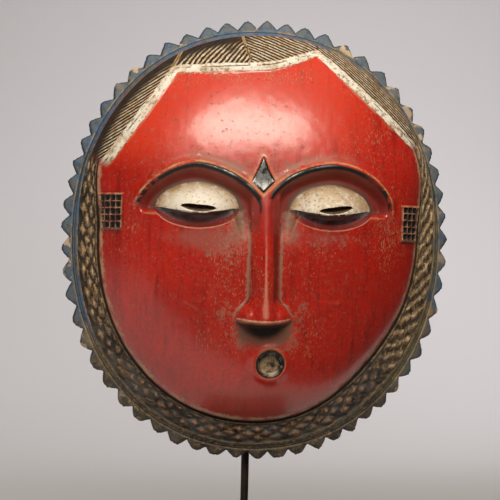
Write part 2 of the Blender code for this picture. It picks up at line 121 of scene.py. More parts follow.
# grooves and ridges that run round the border: where, half width and height
BORDER_LINES = (
    (0.0, 0.06, 0.9), (GROOVE_AT, 0.028, -1.5), (INNER_RIDGE_AT, 0.02, 0.7),
    (OUTER_RIDGE_AT, 0.02, 0.9), (0.94, 0.012, -0.5), (0.972, 0.014, 0.6))

# dome of the face
FACE_SHARE = 0.805
FACE_WIDER_ABOVE = 0.075
FACE_WIDENS = (0.03, 0.46)
FACE_FLATTER_RIGHT = 0.045
FLAT_BEARING = 317.0
FLAT_HALF_WIDTH = 26.0
FACE_EDGE_DEPTH = 28.0
DOME_RISE = 36.0
DOME_POWER = 2.3
DOME_ROUNDNESS = 0.62
FOREHEAD_RISE = 2.5
FOREHEAD_Z = 62.0
FOREHEAD_HALF_WIDTH = 55.0
FOREHEAD_HALF_HEIGHT = 36.0
HAIR_ROLL = 1.25

# features on the carving grid
MIDLINE_X = 0.0
EYE_X = 41.2
EYE_Z = 19.0
EYE_HALF_WIDTH = 25.8
LID_HEIGHT = 18.6
LOWER_LID_HEIGHT = 12.0
BROW_FOOT_Z = 20.0
BROW_LEFT = {"apex": -43.0, "inner": 40.0, "outer": 34.5, "rise": 24.8, "power": 1.6}
BROW_RIGHT = {"apex": 43.0, "inner": 41.5, "outer": 35.8, "rise": 25.5, "power": 1.8}
BROW_RIDGE = 3.0
BROW_RIDGE_AT = -1.0
BROW_RIDGE_HALF_WIDTH = 2.8
SOCKET_DROP = 8.0
SOCKET_EDGE = (0.5, 7.5)
SOCKET_SHALLOWER_BY_NOSE = 0.35
LID_BULGE = 13.0
UNDERCUT = 2.2
SLITS = ((-41.2, 17.6), (43.4, 18.0))
SLIT_WIDTH = 21.5
SLIT_HEIGHT = 3.6
SLIT_ARCH = 0.78
SLIT_SAG = 0.42
SLIT_LEAN = math.radians(22)
CREASE_SAG = 2.4
LID_POWER = 1.7
SOCKET_RUN_INNER = 21.0
SOCKET_RUN_OUTER = 4.5
NOSE_X = 0.0
NOSE_TOP_Z = 34.0
NOSE_BASE_Z = -49.2
NOSE_HALF_WIDTH = 8.9
NOSTRIL_HALF_WIDTH = 17.0
NOSE_TIP_DROP = 1.8
NOSE_HEIGHT = 15.5
NOSE_TOP_SHARE = 0.16
NOSE_GROWTH = 1.15
NOSE_ROUNDNESS = 1.5
WINGS_FROM_TO = (-35.5, -48)
WING_SWELL = 2.3
WING_X = 11.6
WING_HALF_WIDTH = 4.6
WING_GROOVE = 0.6
WING_GROOVE_X = 6.6
WING_GROOVE_HALF_WIDTH = 2.2
MOUTH_X = 5.6
MOUTH_Z = -76.0
MOUTH_RADIUS = 8.6
MOUTH_DEPTH = 6.5
LIP_HEIGHT = 1.3
LIP_HALF_WIDTH = 2.6
LIP_AWAY = 1.4
MOUTH_WALL = (0.3, -2.6)
MUZZLE_HEIGHT = 2.0
MUZZLE_HALF_WIDTH = 24.0

# hairline and hair; a straight side of the hairline is the bearing it faces and its distance
HAIRLINE_Z = 110.3
HAIRLINE_LEFT = (144.2, 108.5)
HAIRLINE_RIGHT = (47.8, 112.6)
HAIRLINE_SLOPE_LEFT = 0.052
HAIRLINE_SLOPE_RIGHT = 0.16
HAIRLINE_CURVE_RIGHT = 0.0045
HAIR_END_LEFT = 157.5
HAIR_END_RIGHT = 29.5
HAIR_BAND_WIDTH = 5.0
HAIR_BAND_HEIGHT = 1.4
HAIR_END_SOFT = 1.5
BAND_CRACK_DEPTH = 0.5
BAND_CRACK_HALF_WIDTH = 0.45
PARTING_X = -9.4
PARTING_Z = 113.6
PARTING_LEAN = 0.28
PARTING_CURVE = 0.006
SECOND_PARTING_X = -56.3
SECOND_PARTING_Z = 107.4
SECOND_PARTING_LEAN = 0.55
SIDE_HAIR_X = 34.0
SIDE_HAIR_Z = 120.0
SIDE_HAIR_LEAN = 0.5
SIDE_HAIR_PITCH = 1.5

# fields of fine cuts in the hair: lean in degrees, spacing and curve
HAIR_LEFT = (54, 2.5, 0.012)
HAIR_RIGHT = (-25, 1.9, 0.0)
HAIR_STRIP = (33, 1.6, 0.0)

# the forehead's kite and the pitted blocks at the temples
KITE_X = -2.0
KITE_Z = 36.0
KITE_HALF_WIDTH = 7.5
KITE_ABOVE = 16.0
KITE_BELOW = 7.5
KITE_SIZE = 6.0
KITE_HEIGHT = 1.0
TEMPLES = ((-94.0, 16.0), (94.5, 12.5))
TEMPLE_HALF_WIDTH = 6.5
TEMPLE_HALF_HEIGHT = 10.4
TEMPLE_HEIGHT = 3.0
PIT_COLUMNS = 4
PIT_ROWS = 5
PIT_DEPTH = 1.6
PIT_WALL = (0.46, 0.24)

# where hands and cloth have worn the red: middle x and z, half widths, strength
RUBBED = (
    (-15, 7, 9, 10, 0.9), (-24, -8, 13, 13, 0.45), (12, 10, 6, 7, 0.8), (42, 0, 22, 6, 0.4),
    (-20, 45, 15, 5, 0.8), (15, 46, 13, 5, 0.6), (-13, -60, 6, 9, 0.85), (17, -60, 6, 8, 0.95),
    (-24, -44, 5, 8, 0.6), (24, -44, 5, 8, 0.6), (-64, 37, 12, 6, 0.4), (76, 12, 8, 9, 0.5))
SCUFFED = (
    (-22, -2, 22, 26, 0.8), (-26, -58, 20, 22, 0.8), (28, -58, 18, 22, 0.7), (28, -2, 22, 18, 0.5),
    (-10, 101, 66, 9, 0.8), (66, 60, 26, 34, 0.55), (78, 2, 16, 18, 0.8), (-82, 4, 12, 20, 0.5),
    (0, 30, 12, 14, 0.8), (0, -30, 9, 20, 0.7), (-60, 60, 26, 30, 0.35))
HAZED = ((-42, 1, 20, 7, 0.9), (-30, -3, 14, 9, 0.7), (36, 2, 20, 6, 0.7), (-44, 44, 18, 4, 0.6))

# rod, base and the socket between them
ROD_BEND = 0.011
ROD_BEND_STEPS = 12
ROD_END_LENGTH = 0.0006
ROD_END_ROUNDING = 0.16
SOCKET_GAP = 0.0003
DRILL_LENGTH = 0.014

# the studio: a sweep of paper, its lights (name, place, what it is aimed at, width and height,
# share of the key's power, tint) and where the camera looks
SWEEP_HALF_WIDTH = 4.0
SWEEP_FRONT = -3.0
SWEEP_BACK = 0.9
SWEEP_RADIUS = 1.2
SWEEP_STEPS = 24
SWEEP_TOP = 3.5
PAPER_FRONT = -0.165
PAPER_SLANT = 0.8
PAPER_EDGE = 0.02
AIM = (0, 0, MASK_MIDDLE_Z)
WARM = (1.0, 0.96, 0.82)
COOL = (0.96, 0.96, 1.0)
WHITE = (1, 1, 1)
LIGHTS = (
    ("key", (0.0, -1.25, MASK_MIDDLE_Z + 0.84), AIM, (1.2, 0.52), 1.0, WARM),
    ("top", (0.0, -0.30, 1.75), AIM, (2.2, 1.5), 1.45, WARM),
    ("wall_light", (0.62, 0.5, 0.86), (0.18, 2.1, 0.30), (0.8, 0.5), 0.37, COOL),
    ("behind", (-1.05, 1.25, 0.95), AIM, (0.9, 0.6), 0.3, WHITE))
WALL_LIGHT_SPREAD = math.radians(110)
AIR_COLOUR = (1.0, 0.98, 0.97, 1)
AIR_STRENGTH = 0.035
LOOKED_AT_DEPTH = 0.012
FRAME_PIXELS = 500
FRAME_SHIFT = (6.2, 9.5)

# hand-made unevenness: height on the face, more on the border, and size of the waves
HAND_WAVE = (0.16, 0.12, 26)
KNIFE_WAVE = (0.04, 0.22, 5)
ADZE_WAVE = (0.7, 12)
HOLLOW_EXTRA = 0.5

# mesh density
CELLS = 177
STEPS_PER_TOOTH = 12
HOLLOW_RINGS = 14
HOLLOW_DRAFT = 0.985
CORNER_BEARING = 45.0
CORNER_TOOTH = 7
MIDDLE_SHARE = 0.83
ROOT_LINE = TOOTH_ROOT - 0.003
INNER_RINGS = (0.03, 0.055, 0.08, 0.105, 0.125, 0.145, LOZENGES_FROM)
LOZENGE_RINGS = 17
OUTER_RINGS = (0.75, OUTER_RIDGE_AT, 0.785, 0.83, 0.88, 0.92, 0.94, 0.957, 0.972, 1.0)
TOOTH_RINGS = (0.25, 0.5, 0.72, 0.9, 1.0)
EDGE_LEVELS = (0.93, 0.6, 0.3, 0.08)
BACK_INSET = 0.9965
BACK_RINGS = (TOOTH_ROOT - 0.012, TOOTH_ROOT - 0.03)
WALL_LEVELS = (0.0, 0.06, 0.3, 0.6, 1.0)
FINE_LENGTH = 0.95
FINE_EYE_Z = EYE_Z + 5
FINE_EYE_HALF_WIDTH = BROW_LEFT["inner"] + 1
FINE_EYE_HALF_HEIGHT = 27
FINE_NOSE_HALF_WIDTH = NOSTRIL_HALF_WIDTH + 4
FINE_NOSE_FROM, FINE_NOSE_TO = -54, 56
FINE_MOUTH_RADIUS = 15
FINE_TEMPLE_HALF_WIDTH, FINE_TEMPLE_HALF_HEIGHT = 9, 13
CUTTER_SIDES = 48
CUTTER_LENGTH = 60.0
TINY = 1e-3
FAR = 9.0

# how rough paint may be and still shine, and the shine of the lacquer over it
MATT = 0.46
GLOSSY = 0.36
COAT_ROUGHNESS = 0.19
LACQUER_SPECULAR = 0.6


def ramp(value, start, end):
    """Smooth step from 0 at start to 1 at end."""
    share = np.clip((value - start) / (end - start), 0.0, 1.0)
    return share * share * (3 - 2 * share)


def bump(value, middle, half_width):
    """Bell of height 1 round middle."""
    return np.exp(-((value - middle) / half_width) ** 2)


def scatter(*keys):
    """Repeatable number from 0 to 1 for each set of whole-numbered keys."""
    total = sum(np.asarray(key, float) * step for key, step in zip(keys, (12.9898, 78.233, 37.719)))
    return np.abs(np.sin(total) * 43758.5453) % 1.0


def reach(x, z):
    """Share of the way from the middle to the tooth tips, and the bearing in degrees."""
    u, v = x / HALF_WIDTH, z / HALF_HEIGHT
    share = (np.abs(u) ** OUTLINE_POWER + np.abs(v) ** OUTLINE_POWER) ** (1 / OUTLINE_POWER)
    return share, np.degrees(np.arctan2(v, u)) % 360


def at_reach(share, bearing):
    """Point on the carving grid at a share of the way out along a bearing."""
    c, s = np.cos(np.radians(bearing)), np.sin(np.radians(bearing))
    norm = (np.abs(c) ** OUTLINE_POWER + np.abs(s) ** OUTLINE_POWER) ** (1 / OUTLINE_POWER)
    return share * HALF_WIDTH * c / norm, share * HALF_HEIGHT * s / norm


def face_edge(bearing):
    """Share at which the red face ends: wider above, flattened at the lower right."""
    wider = FACE_WIDER_ABOVE * ramp(np.sin(np.radians(bearing)), *FACE_WIDENS)
    turn = (bearing - FLAT_BEARING + 180) % 360 - 180
    return FACE_SHARE + wider - FACE_FLATTER_RIGHT * bump(turn, 0, FLAT_HALF_WIDTH)


def tooth_bearing(count):
    """Bearing of a tooth tip; the carver's spacing drifts a little round the rim."""
    even = np.radians(360 * count / TEETH)
    drift = sum(size * np.cos(waves * even + math.radians(lead)) for size, waves, lead in TOOTH_DRIFT)
    return FIRST_TOOTH_BEARING + np.degrees(even) + drift


def tooth_count(bearing):
    """Running tooth number at a bearing, whole at the tips."""
    counts = np.linspace(-2, TEETH + 2, 40 * TEETH)
    return np.interp(bearing, tooth_bearing(counts), counts)


def tooth_outline(count):
    """Share at which the fringe of teeth ends: blunt lobes with sharp notches between."""
    tooth = np.round(count)
    number = tooth % TEETH
    off = count - tooth - TOOTH_SHIFT * (scatter(number, 3) - 0.5)
    worn = arc(tooth_bearing(number) % 360, *WORN_TEETH)
    top = TOOTH_TOP + TOOTH_BLUNTNESS * scatter(number, 5) + TOOTH_WEAR * worn * scatter(number, 31)
    flank = np.clip((0.5 - np.abs(off)) / (0.5 - top), 0, 1)
    lobe = NOTCH_LEFT + (1 - NOTCH_LEFT) * flank * (1 + LOBE_SWELL - LOBE_SWELL * flank)
    tall = 1 - TOOTH_WEAR * (1 - scatter(number, 9) + worn * scatter(number, 37))
    slant = 1 + TOOTH_SLANT * (scatter(number, 13) - 0.5) * off
    cuts = 1 - KNIFE_MARK * np.abs(np.sin(count * KNIFE_MARKS_PER_TOOTH + 6.0 * scatter(number, 21)))
    return TOOTH_ROOT + (1 - TOOTH_ROOT) * lobe * np.minimum(tall * slant, 1) * cuts


def hairline_scale(x, z):
    """Factor that brings a point along its ray onto the outer edge of the hairline."""
    above = np.maximum(z, TINY)
    scale = np.ones_like(x)
    for _ in range(4):
        across = np.clip(x * scale, -HALF_WIDTH, HALF_WIDTH)
        right = HAIRLINE_SLOPE_RIGHT * across + HAIRLINE_CURVE_RIGHT * across ** 2
        slope = np.where(across < 0, HAIRLINE_SLOPE_LEFT * across, right)
        scale = np.where(slope > -HAIRLINE_Z, (HAIRLINE_Z + slope) / above, FAR)
    for angle, away in (HAIRLINE_LEFT, HAIRLINE_RIGHT):
        outward = x * math.cos(math.radians(angle)) + z * math.sin(math.radians(angle))
        scale = np.where(outward > TINY, np.minimum(scale, away / np.maximum(outward, TINY)), scale)
    return np.where(z > 0, scale, FAR)


def in_hair_sector(bearing):
    """1 over the sector where the hair reaches the rim, 0 over the lozenge border."""
    rising = ramp(bearing, HAIR_END_RIGHT - HAIR_END_SOFT, HAIR_END_RIGHT + HAIR_END_SOFT)
    return rising * ramp(bearing, HAIR_END_LEFT + HAIR_END_SOFT, HAIR_END_LEFT - HAIR_END_SOFT)


def dome(x, z):
    """Smooth swelling of the face, its border slope and the hair, without features."""
    share, bearing = reach(x, z)
    edge = face_edge(bearing)
    inner = np.minimum(share / edge, 1.0)
    face = FACE_EDGE_DEPTH + DOME_RISE * (1 - inner ** DOME_POWER) ** DOME_ROUNDNESS
    swell = bump(x, 0, FOREHEAD_HALF_WIDTH) * bump(z, FOREHEAD_Z, FOREHEAD_HALF_HEIGHT)
    face = face + FOREHEAD_RISE * swell * (1 - inner)
    slope = np.clip((share - edge) / (BLUE_BAND_OUTER - edge), 0, 1)
    border = FACE_EDGE_DEPTH + (RIM_FRONT - FACE_EDGE_DEPTH) * slope
    return np.where(share < edge, face, border)


def hair_mass(x, z, depth):
    """Depth of the hair, which rolls from the hairline down to the rim."""
    share, bearing = reach(x, z)
    weight = in_hair_sector(bearing)
    scale = hairline_scale(x, z)
    start = dome(x * np.minimum(scale, 1), z * np.minimum(scale, 1))
    rim_scale = BLUE_BAND_OUTER / np.maximum(share, 1e-6)
    roll = np.clip((1 - scale) / np.maximum(rim_scale - scale, 1e-6), 0, 1)
    rolled = start + (RIM_FRONT - start) * roll ** HAIR_ROLL
    return np.where(scale < 1, depth + weight * (rolled - depth), depth)


def hairline_away(x, z):
    """Signed distance from the hairline's outer edge, positive towards the face."""
    return (hairline_scale(x, z) - 1) * np.hypot(x, z)


def hair_band(x, z):
    """Raised white band along the hairline, rounded across."""
    _, bearing = reach(x, z)
    away = hairline_away(x, z)
    inside = ramp(away, -0.5, 0.9) * ramp(away, HAIR_BAND_WIDTH + 0.6, HAIR_BAND_WIDTH - 0.9)
    crack = BAND_CRACK_DEPTH * bump(away, HAIR_BAND_WIDTH / 2, BAND_CRACK_HALF_WIDTH)
    return (HAIR_BAND_HEIGHT * inside - crack * inside) * in_hair_sector(bearing)


def one_brow(x, z, apex, inner, outer, rise, power):
    """Distance below one brow's black line, an arch with its own width on each side."""
    across = x - apex
    half = np.where(across * apex < 0, inner, outer)
    run = np.abs(across) / half
    up = np.maximum(z - BROW_FOOT_Z, 0) / rise
    norm = np.maximum((run ** power + up ** power) ** (1 / power), 0.3)
    steep = np.hypot(run ** (power - 1) / half, up ** (power - 1) / rise) * norm ** (1 - power)
    return (1 - norm) / np.maximum(steep, 0.01)


def brow_inside(x, z):
    """Distance below the nearer brow's black line, towards the eye; negative above it."""
    return np.where(x < MIDLINE_X, one_brow(x, z, **BROW_LEFT), one_brow(x, z, **BROW_RIGHT))


def brow_fade(x, z):
    """1 at the height of the brows; ends at the outer corners and fades down by the nose."""
    side = np.abs(x - MIDLINE_X) - EYE_X
    inner = ramp(side, -EYE_HALF_WIDTH * 0.7, -EYE_HALF_WIDTH)
    outside = ramp(z, BROW_FOOT_Z - 3.4, BROW_FOOT_Z - 1.6)
    return outside + inner * (ramp(z, BROW_FOOT_Z - 30, BROW_FOOT_Z + 2) - outside)


def lid_share(x, z):
    """0 at the middle of the upper lid's lower edge, 1 along the lid's outline."""
    across = np.abs(np.abs(x - MIDLINE_X) - EYE_X) / EYE_HALF_WIDTH
    up = np.maximum(z - crease(x), 0) / LID_HEIGHT
    return (across ** LID_POWER + up ** LID_POWER) ** (1 / LID_POWER)


def crease(x):
    """Height of the line where the lids meet: it sags under the slit."""
    across = (np.abs(x - MIDLINE_X) - EYE_X) / SLIT_WIDTH
    return EYE_Z - CREASE_SAG * np.maximum(0, 1 - across ** 2)


def lower_fall(x, z):
    """0 at the slit, 1 at the lower lid's bottom edge."""
    across = np.abs(np.abs(x - MIDLINE_X) - EYE_X) / EYE_HALF_WIDTH
    bottom = np.maximum(1.5, LOWER_LID_HEIGHT * np.sqrt(np.maximum(0, 1 - across ** 2)))
    line = crease(x)
    return (line - z) / np.maximum(bottom - (EYE_Z - line), 1.5)


def eye_and_brow(x, z):
    """Socket under the brow's edge, the lid's wedge and the undercut lower lid."""
    across = np.abs(np.abs(x - MIDLINE_X) - EYE_X) / EYE_HALF_WIDTH
    up = z - crease(x)
    side = np.abs(x - MIDLINE_X) - EYE_X
    inside = brow_inside(x, z)
    ridge = BROW_RIDGE * bump(inside, BROW_RIDGE_AT, BROW_RIDGE_HALF_WIDTH) * ramp(up, 0, 8)
    by_nose = ramp(side, -EYE_HALF_WIDTH, -EYE_HALF_WIDTH - 8) * ramp(z, EYE_Z + 12, EYE_Z - 4)
    drop = SOCKET_DROP * (1 - SOCKET_SHALLOWER_BY_NOSE * by_nose) * ramp(inside, *SOCKET_EDGE)
    lens = np.maximum(0.0, 1 - across ** LID_POWER)
    lid = np.maximum(0.0, 1 - lid_share(x, z) ** LID_POWER)
    upper = ridge + LID_BULGE * lid - drop
    fall = np.clip(lower_fall(x, z), 0, 1)
    under = -UNDERCUT * lens * ramp(fall, 0.05, 0.5) * ramp(fall, 1.02, 0.93)
    bottom = LOWER_LID_HEIGHT * np.sqrt(np.maximum(0, 1 - across ** 2)) * 0.9
    inner_run = SOCKET_RUN_INNER * ramp(side, -EYE_HALF_WIDTH * 0.7, -EYE_HALF_WIDTH * 1.1)
    run = np.maximum(np.maximum(bottom, SOCKET_RUN_OUTER), inner_run)
    lower = LID_BULGE * lens * (1 - ramp(fall, 0, 0.85)) ** 1.4 + under - drop * ramp(-up, run, 0)
    return np.where(up >= 0, upper, lower)


def nose_half(z):
    """Half width of the nose, flaring to the wings."""
    return NOSE_HALF_WIDTH + (NOSTRIL_HALF_WIDTH - NOSE_HALF_WIDTH) * ramp(z, *WINGS_FROM_TO) ** 0.7


def nose(x, z):
    """Long narrow nose with a sharp ridge, flared wings and an undercut base."""
    across = np.abs(x - NOSE_X)
    down = np.clip((NOSE_TOP_Z - z) / (NOSE_TOP_Z - NOSE_BASE_Z), 0, 1)
    tall = NOSE_HEIGHT * (NOSE_TOP_SHARE + (1 - NOSE_TOP_SHARE) * down ** NOSE_GROWTH)
    tall = tall * ramp(z, NOSE_TOP_Z + 4, NOSE_TOP_Z - 14)
    base = NOSE_BASE_Z - NOSE_TIP_DROP * (1 - (across / NOSTRIL_HALF_WIDTH) ** 2)
    section = np.maximum(0.0, 1 - (across / nose_half(z)) ** NOSE_ROUNDNESS)
    swell = ramp(z, -37, -46) * bump(across, WING_X, WING_HALF_WIDTH)
    groove = WING_GROOVE * ramp(z, -36, -47) * bump(across, WING_GROOVE_X, WING_GROOVE_HALF_WIDTH)
    return (tall * section + WING_SWELL * (swell - groove)) * ramp(z, base - 2.0, base + 0.2)


def mouth(x, z):
    """Low muzzle, round raised lip and the blind chiselled recess."""
    away = np.hypot(x - MOUTH_X, z - MOUTH_Z)
    lip = LIP_HEIGHT * bump(away, MOUTH_RADIUS + LIP_AWAY, LIP_HALF_WIDTH)
    hole = -MOUTH_DEPTH * ramp(away - MOUTH_RADIUS, *MOUTH_WALL)
    return lip + hole + MUZZLE_HEIGHT * bump(away, 0, MUZZLE_HALF_WIDTH)


def temple_cells(x, z):
    """Edge distance inside each temple block and how deep its pits are, 0 to 1."""
    edge = np.full_like(x, -50.0)
    pits = np.zeros_like(x)
    for middle_x, middle_z in TEMPLES:
        across, up = x - middle_x, z - middle_z
        near = np.minimum(TEMPLE_HALF_WIDTH - np.abs(across), TEMPLE_HALF_HEIGHT - np.abs(up))
        edge = np.maximum(edge, near)
        column = (across + TEMPLE_HALF_WIDTH) / (2 * TEMPLE_HALF_WIDTH) * PIT_COLUMNS
        row = (up + TEMPLE_HALF_HEIGHT) / (2 * TEMPLE_HALF_HEIGHT) * PIT_ROWS
        wide = np.maximum(np.abs(column % 1 - 0.5), np.abs(row % 1 - 0.5))
        pits = np.where(near > 0, ramp(wide, *PIT_WALL), pits)
    return edge, pits


def temples(x, z):
    """Raised blocks of pitted scar marks beside the eyes."""
    edge, pits = temple_cells(x, z)
    return TEMPLE_HEIGHT * ramp(edge, -1.2, 0.1) - PIT_DEPTH * pits


def mark_inside(x, z):
    """Distance inside the forehead's kite, in units; negative outside."""
    across = np.abs(x - KITE_X) / KITE_HALF_WIDTH
    above = (np.maximum(z - KITE_Z, 0) / KITE_ABOVE) ** 0.8
    return (1 - across - np.where(z > KITE_Z, above, (KITE_Z - z) / KITE_BELOW)) * KITE_SIZE


def arc(bearing, start, end, soft=6.0):
    """1 between two bearings, with soft ends; start may lie past end, across zero."""
    middle = (start + ((end - start) % 360) / 2) % 360
    off = np.abs((bearing - middle + 180) % 360 - 180)
    half = ((end - start) % 360) / 2
    return ramp(off, half + soft, half - soft)


def slanting(bearing):
    """1 on the viewer's right, where the lozenges run together into slanting scales."""
    return arc(bearing, *SLANTING_ARC)


def lozenges(x, z):
    """Height of the overlapping lozenge cuts, 0 to 1, and a number for each lozenge."""
    share, bearing = reach(x, z)
    edge = face_edge(bearing)
    out = (share - edge) / (TOOTH_ROOT - edge)
    row = (out - LOZENGES_FROM) / (LOZENGES_TO - LOZENGES_FROM) * (LOZENGE_ROWS + 1)
    twist = 0.2 + 0.6 * np.clip(row / (LOZENGE_ROWS + 1), 0, 1)
    plain = (bearing - CORNER_BEARING) / (180 / TEETH)
    wanted = 2 * (tooth_count(bearing) - CORNER_TOOTH)
    along = plain + (wanted - plain) * twist + 0.16 * np.sin(0.43 * x + 1.3) * np.sin(0.37 * z)
    row = row + 0.10 * np.sin(0.61 * x) * np.sin(0.55 * z + 0.8)
    first, second = (along + row) / 2, (along - row) / 2
    cell_a, cell_b = np.floor(first), np.floor(second)
    slanted = slanting(bearing)
    off = np.maximum(2 * np.abs(first - cell_a - 0.5), 2 * np.abs(second - cell_b - 0.5))
    number = scatter(cell_a, cell_b)
    inside = (row > 0) & (row < LOZENGE_ROWS + 1)
    whole = (cell_a - cell_b >= 0) & (cell_a - cell_b <= LOZENGE_ROWS)
    height = np.where(inside & whole, np.clip(1 - off, 0, 1), 0)
    stripe = SCALE_SPACING * along - SCALE_SLANT * row
    saw = stripe % 1
    neck = SCALE_NECK * bump(np.abs(row % 1 - 0.5), 0.5, SCALE_NECK_HALF_WIDTH)
    scale = np.minimum(saw / SCALE_RISE, (1 - saw) / (1 - SCALE_RISE)) * (1 - neck)
    crossing = np.abs(2 * ((SCALE_SPACING * along + SCALE_CROSSING * row) % 1) - 1)
    scale = np.maximum(scale, 0.9 * crossing ** 3 * scatter(np.floor(stripe), np.floor(row), 5))
    height = height + slanted * (np.where(inside, scale, 0) - height)
    number = np.where(slanted > 0.5, scatter(np.floor(stripe), np.floor(row)), number)
    return height, number


def border_relief(x, z):
    """Grooves, ridges and lozenges of the border, over the smooth slope."""
    share, bearing = reach(x, z)
    edge = face_edge(bearing)
    out = (share - edge) / (TOOTH_ROOT - edge)
    height, number = lozenges(x, z)
    cuts = LOZENGE_HEIGHT * np.clip(height * 1.25, 0, 1) * (0.75 + 0.5 * number)
    bed = ramp(out, LOZENGES_FROM - 0.02, LOZENGES_FROM + 0.02)
    bed = bed * ramp(out, LOZENGES_TO + 0.02, LOZENGES_TO - 0.02)
    lines = sum(height * bump(out, at, half_width) for at, half_width, height in BORDER_LINES)
    return (cuts - LOZENGE_BED_DEPTH * bed + lines) * (1 - in_hair_sector(bearing))


def tooth_relief(x, z):
    """The teeth slope back to their tips and are rounded off at their edges."""
    share, bearing = reach(x, z)
    outline = tooth_outline(tooth_count(bearing))
    out = np.clip((share - TOOTH_ROOT) / (1 - TOOTH_ROOT), 0, 1)
    near = np.clip((outline - share) * HALF_WIDTH, 0, 3)
    edge = TOOTH_EDGE_DROP * (1 - ramp(near, 0, TOOTH_EDGE_WIDTH))
    return np.where(share > TOOTH_ROOT - 0.004, (RIM_TIP - RIM_FRONT) * out - edge, 0)


def front(x, z):
    """Depth of the whole carved front."""
    share, bearing = reach(x, z)
    depth = hair_mass(x, z, dome(x, z)) + hair_band(x, z)
    inner = share / face_edge(bearing)
    fade = ramp(inner, 1.0, 0.93)
    shape = eye_and_brow(x, z)
    lift = nose(x, z)
    joined = np.where(shape > 0, np.maximum(shape, lift), np.maximum(shape + lift, lift * 0.9))
    shape = np.where(lift > 0, joined, shape)
    shape = shape + mouth(x, z) + KITE_HEIGHT * ramp(mark_inside(x, z), -0.3, 0.5)
    features = np.where(inner < 1, shape * fade + temples(x, z), 0)
    return depth + features + border_relief(x, z) + tooth_relief(x, z)


def hollow_edge(bearing):
    """Share at which the hollow's straight wall stands."""
    return face_edge(bearing) - WALL / HALF_WIDTH


def hollow_floor(x, z):
    """Depth of the hollow, which leaves the wall even behind the eye sockets."""
    return dome(x, z) - SOCKET_DROP - WALL


def wander(x, z, size, seed):
    """Slow hand-made unevenness, about -1 to 1."""
    values = [noise.noise(Vector((a / size, b / size, seed))) for a, b in zip(x, z)]
    return np.array(values) * 1.6


def ring_edges(bm, ring):
    """Edges between neighbours of a closed ring of vertices."""
    return [bm.edges.get((vert, after)) for vert, after in zip(ring, ring[1:] + ring[:1])]


def grow(bm, ring, x, z, level):
    """Extrude the ring of vertices and lay the new ones on the carving grid."""
    made = set(bmesh.ops.extrude_edge_only(bm, edges=ring_edges(bm, ring))["geom"])
    fresh = [next(e.other_vert(v) for e in v.link_edges if e.other_vert(v) in made) for v in ring]
    for vert, across, up in zip(fresh, x, z):
        vert.co = (across, level, up)
    return fresh


def halve(bm, ring):
    """Merge every second vertex of the ring into the one before it."""
    bmesh.ops.weld_verts(bm, targetmap={ring[i + 1]: ring[i] for i in range(0, len(ring), 2)})
    return ring[::2]


def face_sheet(bm):
    """Square grid bent to the face's outline; returns its rim in order of bearing."""
    made = bmesh.ops.create_grid(bm, x_segments=CELLS, y_segments=CELLS, size=1)["verts"]
    rim = []
    for vert in made:
        u, v = vert.co.x, vert.co.y
        out = max(abs(u), abs(v))
        if abs(u) >= abs(v):
            bearing = 45 * v / u + (0 if u > 0 else 180) if out else 0.0
        else:
            bearing = 90 - 45 * u / v + (0 if v > 0 else 180)
        edge = MIDDLE_SHARE + (face_edge(np.float64(bearing % 360)) - MIDDLE_SHARE) * out ** 2
        x, z = at_reach(out * edge, bearing)
        vert.co = (x, 1, z)
        if out > 1 - 1e-5:
            rim.append((round((bearing - CORNER_BEARING) % 360, 4) % 360, vert))
    rim.sort(key=lambda item: item[0])
    return [vert for _, vert in rim]


def border_sheet(bm, ring):
    """Rings from the face's edge out to the notched outline of the teeth."""
    count = len(ring)
    index = np.arange(count)
    plain = CORNER_BEARING + index * 360 / count
    tooth = index / STEPS_PER_TOOTH + CORNER_TOOTH
    wanted = tooth_bearing(tooth)
    lozenge_rings = np.linspace(LOZENGES_FROM, LOZENGES_TO, LOZENGE_RINGS)[1:]
    for share_out in (*INNER_RINGS, *lozenge_rings, *OUTER_RINGS):
        bearing = plain + (wanted - plain) * share_out
        edge = face_edge(bearing % 360)
        x, z = at_reach(edge + (ROOT_LINE - edge) * share_out, bearing)
        ring = grow(bm, ring, x, z, 1)
    outline = tooth_outline(tooth)
    for step in TOOTH_RINGS:
        x, z = at_reach(ROOT_LINE + (outline - ROOT_LINE) * step, wanted)
        ring = grow(bm, ring, x, z, 1)
    return ring, outline, wanted


def back_sheet(bm, ring, outline, bearing):
    """Edge of the rim, flat back and the hollow, closed at its deepest point."""
    x, z = at_reach(outline, bearing)
    for level in EDGE_LEVELS:
        ring = grow(bm, ring, x, z, level)
    ring = grow(bm, ring, x * BACK_INSET, z * BACK_INSET, 0)
    for share in BACK_RINGS:
        x, z = at_reach(share, bearing)
        ring = grow(bm, ring, x, z, 0)
    ring = halve(bm, ring)
    bearing = bearing[::2]
    edge = hollow_edge(bearing % 360)
    for share in (TOOTH_ROOT * 0.6 + edge * 0.4, TOOTH_ROOT * 0.2 + edge * 0.8, edge + 0.006):
        x, z = at_reach(share, bearing)
        ring = grow(bm, ring, x, z, 0)
    ring = halve(bm, ring)
    bearing, edge = bearing[::2], edge[::2]
    for drop in WALL_LEVELS:
        x, z = at_reach(edge * (1 - (1 - HOLLOW_DRAFT) * drop), bearing)
        ring = grow(bm, ring, x, z, -drop)
    for step in range(1, HOLLOW_RINGS):
        inward = HOLLOW_DRAFT * (1 - step / HOLLOW_RINGS) ** 0.9
        x, z = at_reach(edge * inward, bearing)
        ring = grow(bm, ring, x, z, -1)
    cap = bmesh.ops.contextual_create(bm, geom=ring_edges(bm, ring))["faces"]
    bmesh.ops.poke(bm, faces=cap)


